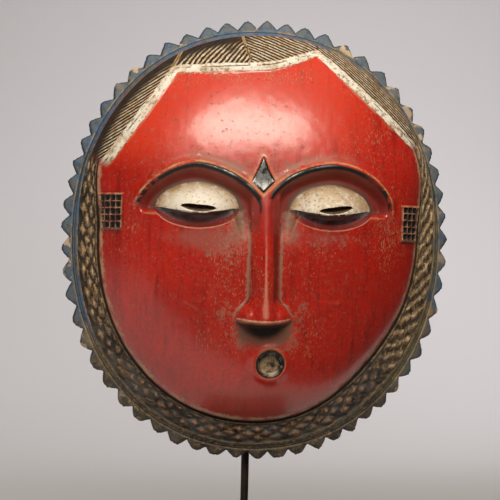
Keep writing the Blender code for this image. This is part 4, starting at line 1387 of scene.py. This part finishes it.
def temple_marks(look, tone):
    """Pitted blocks: thin bare ridges, black in the pits as paint and painted shade, and a worn frame."""
    edge = look.stored("block_mm")
    pit = look.stored("pit")
    wear = look.grain(240, 4)
    ridge = look.mix(look.mix(tone.tan, tone.smear, 0.4), tone.deep_red, wear.ramp(0.42, 0.58) * 0.8)
    look.paint(ridge, 0.5, edge.ramp(-1.3, -0.3) * wear.ramp(0.28, 0.44))
    # black paint in the pits, which also stands for the shade in them
    look.paint(tone.black, 0.6, edge.ramp(-0.2, 0.3) * (pit + (wear - 0.5) * 0.35).ramp(0.03, 0.22))


def border_lines(look, tone, line, plain):
    """Worn face edge with a painted highlight, dark groove and the thin bare ridge beside it."""
    edge = look.stored("edge_mm") + look.jitter(0.7, 200, 3)
    soft = look.grain(95, 4, 0.6)
    # pale pink along the face's edge: worn paint, and a painted highlight on that rounded ridge
    worn = (edge + look.jitter(6.0, 420, 5, 0.8)).ramp(-2.1, -1.2) * edge.ramp(0.5, -0.3) * plain
    pink = look.mix(tone.smear, tone.orange, 0.4)
    pink = look.mix(pink, look.mix(tone.tan, tone.white, 0.2), soft.ramp(0.35, 0.6))
    look.paint(pink, 0.5, worn * soft.ramp(0.34, 0.52) * 0.85)
    look.paint(look.mix(tone.hair, tone.black, 0.6), 0.6, edge.ramp(0.0, 0.6) * plain)
    # the lower border is painted darker: partly painted shade, partly grime
    lower_shade_and_grime = look.stored("lower_shade_and_grime")
    thin = line.near(INNER_RIDGE_AT, 0.034) * plain * soft.ramp(0.30, 0.46) * (1.0 - lower_shade_and_grime * 0.45)
    flecked = look.grain(330, 5, 0.75).ramp(0.36, 0.56)
    look.paint(look.mix(tone.tan, tone.olive, 0.4), 0.6, thin * flecked * 0.9)


def lozenge_paint(look, tone, line, plain):
    """Bare wood and painted highlights on the lozenge tops over a dark, blue-grey or brown ground."""
    # the lower border is painted darker: partly painted shade, partly grime
    lower_shade_and_grime = look.stored("lower_shade_and_grime")
    sparse = look.stored("sparse")
    height = look.stored("lozenge")
    chance = look.stored("lozenge_chance")
    band = line.ramp(LOZENGES_FROM - 0.02, LOZENGES_FROM + 0.01)
    band = band * line.ramp(LOZENGES_TO + 0.02, LOZENGES_TO - 0.01) * plain
    ground = look.mix(look.mix(tone.hair, tone.black, 0.55), tone.hair, look.grain(150, 3).ramp(0.4, 0.6))
    look.paint(ground, 0.62, band)
    mottle = look.grain(260, 5, 0.75).ramp(0.42, 0.62)
    earthy = look.mix(tone.hair, look.mix(tone.tan, tone.slate, 0.3), mottle * 0.5)
    look.paint(earthy, 0.62, band * look.stored("slanting") * 0.85)
    slate = look.grain(75, 3).ramp(0.36, 0.54) * (lower_shade_and_grime * 0.6 + 0.12)
    look.paint(look.mix(tone.slate, tone.hair, 0.4), 0.5, band * slate)
    streaks = look.grain(210, 5, 0.75, stretch=(0.6, 1, 1.5)).ramp(0.46, 0.60)
    look.paint(look.mix(tone.hair, tone.tan, 0.38), 0.62, band * lower_shade_and_grime * streaks * 0.75)
    fine = look.jitter(3.2, 360, 5, 0.8, stretch=(1.6, 1, 0.7))
    slanted = look.stored("slanting")
    bare = (height + fine + chance * 0.22 - sparse * 0.22 - slanted * 0.12).ramp(0.34, 0.54)
    rust = look.mix(look.mix(tone.tan, tone.orange, 0.45), tone.hair, 0.5)
    rust = look.mix(look.mix(tone.tan, tone.hair, 0.5), rust, lower_shade_and_grime)
    brown = look.grain(130, 4, 0.7).ramp(0.42, 0.60) * 0.35
    wood = look.mix(tone.tan, rust, (lower_shade_and_grime * 0.75 + chance * 0.4 + brown).ramp(0.1, 0.9))
    wood = look.mix(wood, tone.hair, look.grain(620, 3, 0.7).ramp(0.42, 0.66) * 0.7)
    look.paint(wood, 0.6, band * bare * 0.92)
    # painted highlight: paler crests on the lozenge tops, fewer in the lower border, partly bare wood
    crest = (height + fine * 0.7).ramp(0.62, 0.95) * (1.0 - lower_shade_and_grime * 0.7)
    look.paint(look.mix(tone.tan, tone.white, 0.4), 0.58, band * crest * chance.ramp(0.15, 0.5) * 0.75)
    notch = look.grain(120, 5, 0.75, stretch=(0.7, 1, 1.3)).ramp(0.565, 0.61)
    look.paint(tone.black, 0.62, band * notch * (lower_shade_and_grime * 0.6 + 0.3), -0.6)


def outer_band_paint(look, tone, line, plain):
    """Ridge, blue band and its grooves, out to the roots of the teeth."""
    blueness = look.stored("blueness")
    # the lower border is painted darker: partly painted shade, partly grime
    lower_shade_and_grime = look.stored("lower_shade_and_grime")
    border = look.stored("border")
    patchy = look.grain(60, 4, 0.6)
    olive = look.mix(tone.olive, tone.hair, (lower_shade_and_grime * 0.55 + patchy.ramp(0.45, 0.7) * 0.4))
    bare = look.mix(olive, tone.tan, look.grain(42, 3).ramp(0.45, 0.62) * (1.0 - lower_shade_and_grime) * 0.8)
    tint = look.mix(tone.blue, tone.slate, look.grain(50, 3).ramp(0.38, 0.66))
    share = (blueness + (patchy - 0.5) * 1.5).ramp(0.35, 0.8)
    coat = look.mix(bare, look.mix(tint, tone.hair, lower_shade_and_grime * 0.55), share)
    rim = look.stored("rim_mm") + look.jitter(0.6, 140, 3)
    area = line.ramp(LOZENGES_TO + 0.01, LOZENGES_TO + 0.03) * plain
    area = area.most(rim.ramp(RIM_BAND_WIDTH + 0.15, RIM_BAND_WIDTH - 0.15))
    look.paint(coat, 0.52, area)
    rough_wood = look.grain(240, 5, 0.8).ramp(0.48, 0.60)
    look.paint(look.mix(tone.hair, tone.black, 0.35), 0.62, area * rough_wood * (lower_shade_and_grime * 0.35 + 0.45), -0.3)
    brown = look.grain(170, 5, 0.75, stretch=(0.7, 1, 1.3)).ramp(0.50, 0.62)
    look.paint(look.mix(tone.hair, tone.tan, 0.4), 0.6, area * brown * lower_shade_and_grime * 0.5)
    blotch = look.grain(150, 5, 0.8, stretch=(0.6, 1, 1.4)).ramp(0.50, 0.60)
    look.paint(look.mix(tone.black, tone.slate, 0.35), 0.6, area * blotch * lower_shade_and_grime * 0.8)
    speck = look.grain(420, 5, 0.8).ramp(0.555, 0.60)
    look.paint(tone.tan, 0.6, area * speck * (lower_shade_and_grime * 0.5 + 0.25), 0.2)
    soft = look.grain(110, 4, 0.6)
    ridge = line.near(OUTER_RIDGE_AT, 0.032) * plain * soft.ramp(0.40, 0.56)
    broken = look.grain(310, 5, 0.75).ramp(0.38, 0.56)
    faint = 1.0 - lower_shade_and_grime * 0.5
    look.paint(look.mix(tone.tan, tone.olive, 0.3 + lower_shade_and_grime * 0.4), 0.6, ridge * broken * faint * 0.9)
    dark = look.mix(tone.hair, tone.black, 0.5)
    look.paint(dark, 0.62, (border + (soft - 0.5) * 0.02).near(0.855, 0.02) * plain * 0.8)
    look.paint(dark, 0.62, rim.near(1.3, 0.45) * 0.75)
    root = rim.near(0.45, 0.6) * look.grain(85, 4).ramp(0.42, 0.58)
    look.paint(look.mix(tone.tan, tone.olive, 0.35 + lower_shade_and_grime * 0.45), 0.6, root * broken * faint * 0.85)
    lip = rim.near(RIM_BAND_WIDTH, 0.5) * (1.0 - plain) * soft.ramp(0.46, 0.60) * (1.2 - blueness)
    look.paint(look.mix(tone.tan, tone.olive, 0.4), 0.6, lip * 0.8)


def tooth_paint(look, tone):
    """Dark edges of grime and painted shade, chips and bare tips on the worn blue teeth."""
    border = look.stored("border")
    # the lower border is painted darker: partly painted shade, partly grime
    lower_shade_and_grime = look.stored("lower_shade_and_grime")
    away = look.stored("tooth_mm") + look.jitter(0.7, 260, 3)
    teeth = border.ramp(0.995, 1.01)
    streak = look.grain(130, 4, 0.65)
    cold = look.mix(tone.blue, tone.slate, look.grain(90, 3).ramp(0.35, 0.6))
    look.paint(cold, 0.52, teeth * (1.0 - lower_shade_and_grime) * streak.ramp(0.36, 0.5) * 0.8)
    dusty = look.grain(170, 5, 0.8).ramp(0.46, 0.62)
    look.paint(look.mix(tone.olive, tone.slate, 0.5), 0.55, teeth * dusty * 0.55)
    flaw = look.grain(230, 5, 0.75).ramp(0.52, 0.64)
    look.paint(look.mix(tone.hair, tone.black, 0.4), 0.6, teeth * flaw * 0.42, -0.3)
    look.paint(look.mix(tone.hair, tone.black, 0.3), 0.6, teeth * lower_shade_and_grime * streak.ramp(0.38, 0.62) * 0.75)
    # the teeth darken along their outline: grime, and painted shade where the edges roll back
    look.paint(look.mix(tone.blue, tone.black, 0.8), 0.6, teeth * away.ramp(1.3, 0.2) * 0.9)
    chance = look.stored("tooth_chance")
    chip = look.grain(120, 3).ramp(0.50, 0.58) * chance.ramp(0.72, 0.86)
    look.paint(look.mix(tone.tan, tone.white, 0.25), 0.62, teeth * chip * (1.0 - lower_shade_and_grime * 0.6))
    nick = look.grain(300, 3).ramp(0.64, 0.70) * away.ramp(2.4, 0.8)
    look.paint(tone.tan, 0.62, teeth * nick * (0.9 - lower_shade_and_grime * 0.5))


def hair_paint(look, tone):
    """Dark hair in fine cuts, with the white clay band along the hairline."""
    away = look.stored("hairline_mm")
    sector = look.stored("hair_sector")
    border = look.stored("border")
    strand = look.stored("strand") + look.jitter(1.3, 60, 4, 0.6)
    wave = (strand * (2 * math.pi)).sine() * 0.5 + 0.5
    rim = look.stored("rim_mm")
    hair = away.ramp(0.25, -0.25) * rim.ramp(RIM_BAND_WIDTH - 0.1, RIM_BAND_WIDTH + 0.3) * sector
    ground = look.mix(look.mix(tone.hair, tone.black, 0.4), tone.hair, look.grain(200, 3).ramp(0.4, 0.6))
    look.paint(ground, 0.6, hair)
    dusty = look.grain(35, 4, 0.6)
    plain_zone = look.stored("blueness").ramp(0.7, 0.95)
    plain_zone = plain_zone * rim.ramp(RIM_BAND_WIDTH + 6.5, RIM_BAND_WIDTH + 2.5)
    ridge = (wave + look.jitter(1.3, 260, 4, 0.65)).ramp(0.46, 0.72) * dusty.ramp(0.26, 0.44)
    ridge = ridge * (1.0 - plain_zone)
    light = look.mix(tone.tan, tone.white, look.grain(300, 2).ramp(0.40, 0.62) * 0.6)
    look.paint(light, 0.6, hair * ridge * 0.95)
    rubbed = look.grain(420, 4, 0.7).ramp(0.52, 0.66) * border.ramp(0.35, 0.85)
    look.paint(look.mix(tone.tan, tone.hair, 0.3), 0.6, hair * rubbed * (1.0 - plain_zone) * 0.45)
    look.height = look.height + hair * wave * 1.3
    part = (look.stored("parting_mm") + look.jitter(1.0, 150, 3)).ramp(1.15, 0.6)
    look.paint(tone.tan, 0.6, hair * part * 0.85)
    band = away + look.jitter(3.4, 170, 5, 0.8)
    white = band.ramp(-0.35, 0.05) * band.ramp(HAIR_BAND_WIDTH + 0.5, HAIR_BAND_WIDTH + 0.1) * sector
    worn = look.grain(90, 5, 0.7).ramp(0.45, 0.60)
    cream = look.mix(tone.white, look.mix(tone.tan, tone.white, 0.45), worn)
    look.paint(cream, 0.55, white, 0.3)
    speck = look.grain(360, 5, 0.75).ramp(0.53, 0.61)
    look.paint(look.mix(tone.tan, tone.hair, 0.45), 0.6, white * speck * 0.85, -0.3)
    crack = (away + look.jitter(1.4, 110, 3)).near(1.9, 0.5)
    look.paint(tone.hair, 0.6, white * crack * look.grain(75, 3).ramp(0.46, 0.56) * 0.9, -0.6)
    seam = away.near(HAIR_BAND_WIDTH + 0.9, 0.7) * sector * look.grain(90, 3).ramp(0.4, 0.55)
    look.paint(look.mix(tone.orange, tone.tan, 0.4), 0.5, seam * 0.6)


def inner_wood(look, tone):
    """Bare adzed wood behind, darker with age."""
    behind = look.stored("behind_mm").ramp(0.9, 1.6)
    fibre = look.grain(90, 4, 0.6, stretch=(6, 6, 0.5))
    colour = look.mix(tone.inner, tone.hair, fibre.ramp(0.38, 0.68))
    colour = look.mix(colour, tone.tan, look.grain(14, 3).ramp(0.55, 0.75) * 0.35)
    look.paint(colour, 0.75, behind)
    gouge = look.flakes(75, stretch=(1, 1, 0.6))
    look.height = look.height * (1.0 - behind) + behind * (gouge * 2.2 + fibre * 0.5)


def painted_wood(tone):
    """Material of the whole mask."""
    look = Look("painted_wood", tone.red, 0.34)
    look.rough = look.grain(30, 3) * 0.12 + 0.28
    red_face(look, tone)
    wear_and_painted_light(look, tone)
    brows_and_eyes(look, tone)
    inner_corners(look, tone)
    forehead_kite(look, tone)
    mouth_ring(look, tone)
    temple_marks(look, tone)
    border = look.stored("border")
    line = border + look.jitter(0.04, 180, 3)
    plain = 1.0 - look.stored("hair_sector")
    border_lines(look, tone, line, plain)
    lozenge_paint(look, tone, line, plain)
    outer_band_paint(look, tone, line, plain)
    tooth_paint(look, tone)
    hair_paint(look, tone)
    inner_wood(look, tone)
    return look.finish(0.0004, look.rough.ramp(MATT, GLOSSY))


def dark_steel(name, tone):
    """Patinated steel with brown bloom and faint scratches."""
    look = Look(name, tone.steel, tone.roughness)
    look.colour = look.mix(tone.steel, tone.rust, look.grain(40, 4, 0.6).ramp(0.45, 0.75))
    scratch = look.grain(900, 2, stretch=(1, 1, 0.05)).ramp(0.64, 0.72)
    look.rough = look.grain(120, 3) * 0.25 + (tone.roughness - 0.1)
    look.paint(tone.scratch, 0.35, scratch * 0.25)
    look.height = look.grain(700, 3) * 0.3 + look.grain(60, 2) * 0.4
    return look.finish(0.0001, metal=0.8)


class MASK_OT_carving(bpy.types.Operator):
    """Carve and paint the mask"""

    bl_idname = "mask.carving"
    bl_label = "Painted mask"

    def execute(self, context):
        """One closed mesh that stands for the drawing's mask."""
        mask = link("painted_mask", mask_mesh())
        cut_out(mask, [slit_cutter(x, z) for x, z in SLITS])
        measure(mask.data)
        mask.data.materials.append(painted_wood(context.scene.mask_colours))
        mask.data.shade_smooth()
        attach(mask, "root")
        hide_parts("mask")
        return {"FINISHED"}


class MASK_OT_rod(bpy.types.Operator):
    """Bend the steel rod that carries the mask"""

    bl_idname = "mask.rod"
    bl_label = "Stand rod"

    def execute(self, context):
        """A round rod from the socket up behind the rim and forward under the crown."""
        sides = context.scene.stand_sizes.rod_sides
        centre = Vector((ROD_X, ROD_Y - ROD_BEND, ROD_HIGH.z - ROD_RADIUS - ROD_BEND))
        bm = bmesh.new()
        made = bmesh.ops.create_circle(bm, cap_ends=True, segments=sides, radius=ROD_RADIUS)
        bmesh.ops.translate(bm, vec=(ROD_X, ROD_Y, ROD_LOW.z), verts=made["verts"])
        face = bm.faces[:]
        for length in (ROD_END_LENGTH, centre.z - ROD_LOW.z - ROD_END_LENGTH):
            face = self.push(bm, face, Vector((0, 0, length)))
        turn = Matrix.Rotation(math.radians(90 / ROD_BEND_STEPS), 3, "X")
        for _ in range(ROD_BEND_STEPS):
            face = self.push(bm, face, Vector())
            verts = {v for f in face for v in f.verts}
            bmesh.ops.rotate(bm, cent=centre, matrix=turn, verts=list(verts))
        self.push(bm, face, Vector((0, ROD_LOW.y - centre.y, 0)))
        bmesh.ops.recalc_face_normals(bm, faces=bm.faces)
        caps = [e for e in bm.edges if len({len(f.verts) > 4 for f in e.link_faces}) == 2]
        bmesh.ops.bevel(bm, geom=caps, offset=ROD_RADIUS * ROD_END_ROUNDING, segments=2, profile=0.5,
                        affect="EDGES", material=-1)
        mesh = as_mesh(bm, "steel_rod")
        rod = link("steel_rod", mesh)
        mesh.materials.append(dark_steel("rod_steel", context.scene.stand_colours))
        mesh.shade_smooth()
        mesh.set_sharp_from_angle(angle=math.radians(40))
        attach(rod, "root")
        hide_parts("stand_rod")
        return {"FINISHED"}

    def push(self, bm, face, step):
        """Extrude the end face and move it."""
        made = bmesh.ops.extrude_face_region(bm, geom=face)["geom"]
        bmesh.ops.delete(bm, geom=face, context="FACES_ONLY")
        verts = [g for g in made if isinstance(g, bmesh.types.BMVert)]
        bmesh.ops.translate(bm, vec=step, verts=verts)
        return [g for g in made if isinstance(g, bmesh.types.BMFace)]


class MASK_OT_base(bpy.types.Operator):
    """Make the flat steel base"""

    bl_idname = "mask.base"
    bl_label = "Stand base"

    def execute(self, context):
        """A plate with rounded edges, drilled for the rod."""
        bm = bmesh.new()
        made = bmesh.ops.create_cube(bm, size=1)["verts"]
        bmesh.ops.scale(bm, vec=BASE_HIGH - BASE_LOW, verts=made)
        bmesh.ops.translate(bm, vec=(BASE_HIGH + BASE_LOW) / 2, verts=made)
        bmesh.ops.bevel(bm, geom=bm.edges[:], offset=context.scene.stand_sizes.edge, segments=3,
                        profile=0.5, affect="EDGES", material=-1)
        base = link("steel_base", as_mesh(bm, "steel_base"))
        bm = bmesh.new()
        radius = ROD_RADIUS + SOCKET_GAP
        drill = bmesh.ops.create_cone(bm, cap_ends=True, segments=CUTTER_SIDES, radius1=radius,
                                      radius2=radius, depth=DRILL_LENGTH)["verts"]
        drill_z = ROD_LOW.z - SOCKET_GAP + DRILL_LENGTH / 2
        bmesh.ops.translate(bm, vec=(ROD_X, ROD_Y, drill_z), verts=drill)
        cut_out(base, [link("drill", as_mesh(bm, "drill"))])
        base.data.materials.append(dark_steel("base_steel", context.scene.stand_colours))
        base.data.shade_smooth()
        base.data.set_sharp_from_angle(angle=math.radians(35))
        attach(base, "root")
        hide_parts("stand_base")
        return {"FINISHED"}


class MASK_OT_studio(bpy.types.Operator):
    """Set up the floor, the lights and the camera"""

    bl_idname = "mask.studio"
    bl_label = "Studio"

    def execute(self, context):
        """A pale sweep, a large softbox and a camera at the photograph's angle."""
        settings = context.scene.studio_settings
        self.floor(settings)
        self.lights(context, settings)
        self.camera(context, settings)
        return {"FINISHED"}

    def floor(self, settings):
        """Pale floor that curves up into a wall behind."""
        bm = bmesh.new()
        start = bmesh.ops.create_grid(bm, x_segments=1, y_segments=1, size=1)["verts"]
        for vert in start:
            vert.co = (vert.co.x * SWEEP_HALF_WIDTH, SWEEP_FRONT if vert.co.y < 0 else SWEEP_BACK, 0)
        edge = [e for e in bm.edges if all(v.co.y > 0 for v in e.verts)]
        for step in range(1, SWEEP_STEPS + 1):
            angle = math.radians(90 * step / SWEEP_STEPS)
            made = bmesh.ops.extrude_edge_only(bm, edges=edge)["geom"]
            for vert in (g for g in made if isinstance(g, bmesh.types.BMVert)):
                vert.co.y = SWEEP_BACK + SWEEP_RADIUS * math.sin(angle)
                vert.co.z = SWEEP_RADIUS * (1 - math.cos(angle))
            edge = [g for g in made if isinstance(g, bmesh.types.BMEdge) and g.is_boundary
                    and abs(g.verts[0].co.x - g.verts[1].co.x) > 1]
        made = bmesh.ops.extrude_edge_only(bm, edges=edge)["geom"]
        for vert in (g for g in made if isinstance(g, bmesh.types.BMVert)):
            vert.co.z = SWEEP_TOP
        bmesh.ops.recalc_face_normals(bm, faces=bm.faces)
        mesh = as_mesh(bm, "studio_sweep")
        sweep = link("studio_sweep", mesh)
        look = Look("pale_sweep", settings.floor, 0.85)
        ahead = look.node("ShaderNodeSeparateXYZ", {}, {0: look.place}, output="Y")
        across = look.node("ShaderNodeSeparateXYZ", {}, {0: look.place}, output="X")
        ahead = ahead - across * PAPER_SLANT
        paper = look.mix(settings.floor, settings.cloud, look.grain(1.2, 1))
        look.colour = look.mix(settings.table, paper, ahead.ramp(PAPER_FRONT - PAPER_EDGE, PAPER_FRONT))
        look.rough = look.grain(3, 1) * 0.05 + 0.82
        look.height = look.grain(200, 1) * 0.02
        mesh.materials.append(look.finish(0.0001))
        mesh.shade_smooth()

    def area(self, context, name, place, aim, size, power, tint):
        """Softbox pointed at aim."""
        light = bpy.data.lights.new(name, "AREA")
        light.shape = "RECTANGLE"
        light.size, light.size_y = size
        light.energy = power
        light.color = tint
        made = bpy.data.objects.new(name, light)
        made.location = place
        made.rotation_euler = (Vector(aim) - Vector(place)).to_track_quat("-Z", "Y").to_euler()
        context.scene.collection.objects.link(made)
        return made

    def lights(self, context, settings):
        """Round key above the camera, wide light on top, one on the wall, one behind, dim air."""
        lamps = {}
        for name, place, aim, size, share, tint in LIGHTS:
            lamps[name] = self.area(context, name, place, aim, size, settings.key_power * share, tint)
        lamps["key"].data.shape = "ELLIPSE"
        lamps["wall_light"].data.spread = WALL_LIGHT_SPREAD
        lamps["behind"].visible_camera = False
        for name in ("top", "behind"):
            lamps[name].visible_glossy = False
        world = bpy.data.worlds.new("studio_air")
        world.use_nodes = True
        air = world.node_tree.nodes["Background"].inputs
        air["Color"].default_value = AIR_COLOUR
        air["Strength"].default_value = AIR_STRENGTH
        context.scene.world = world
        context.scene.view_settings.view_transform = "Standard"

    def camera(self, context, settings):
        """Long lens a little to the viewer's left, level, leaning a touch."""
        middle = Vector((0, MASK_BACK_Y - LOOKED_AT_DEPTH, MASK_MIDDLE_Z))
        angle = settings.azimuth
        towards = Vector((math.sin(angle), -math.cos(angle), 0))
        right = Vector((math.cos(angle), math.sin(angle), 0))
        up = Vector((0, 0, 1))
        lean, rise = math.cos(settings.roll), math.sin(settings.roll)
        camera_right = right * lean + up * rise
        camera_up = up * lean - right * rise
        pixel = settings.field / FRAME_PIXELS
        shift_right, shift_up = FRAME_SHIFT
        place = middle + towards * settings.distance
        place = place - camera_right * shift_right * pixel - camera_up * shift_up * pixel
        data = bpy.data.cameras.new("view")
        data.lens = data.sensor_width * settings.distance / settings.field
        data.clip_end = 50
        camera = bpy.data.objects.new("view", data)
        axes = Matrix((camera_right, camera_up, towards)).transposed()
        camera.matrix_world = Matrix.Translation(place) @ axes.to_4x4()
        context.scene.collection.objects.link(camera)
        context.scene.camera = camera


class MASK_PT_panel(bpy.types.Panel):
    """Buttons and colours of the mask"""

    bl_label = "Disc mask"
    bl_space_type = "VIEW_3D"
    bl_region_type = "UI"
    bl_category = "Mask"

    def draw(self, context):
        """List each group's settings under its button."""
        scene = context.scene
        groups = (
            ("mask.carving", (scene.mask_colours,)),
            ("mask.rod", (scene.stand_colours, scene.stand_sizes)),
            ("mask.base", ()),
            ("mask.studio", (scene.studio_settings,)))
        for operator, holders in groups:
            self.layout.operator(operator)
            for holder in holders:
                for name in holder.__annotations__:
                    self.layout.prop(holder, name)


SETTINGS = (
    ("mask_colours", MaskColours), ("stand_colours", StandColours),
    ("stand_sizes", StandSizes), ("studio_settings", StudioSettings))
CLASSES = (
    MaskColours, StandColours, StandSizes, StudioSettings, MASK_OT_carving, MASK_OT_rod,
    MASK_OT_base, MASK_OT_studio, MASK_PT_panel)


def register():
    """Add the classes and their settings to the scene."""
    for item in CLASSES:
        bpy.utils.register_class(item)
    for name, group in SETTINGS:
        setattr(bpy.types.Scene, name, PointerProperty(type=group))


def unregister():
    """Take them away again."""
    for name, _ in SETTINGS:
        delattr(bpy.types.Scene, name)
    for item in reversed(CLASSES):
        bpy.utils.unregister_class(item)


def main():
    """Build everything."""
    register()
    bpy.ops.mask.carving()
    bpy.ops.mask.rod()
    bpy.ops.mask.base()
    bpy.ops.mask.studio()


if __name__ == "__main__":
    main()
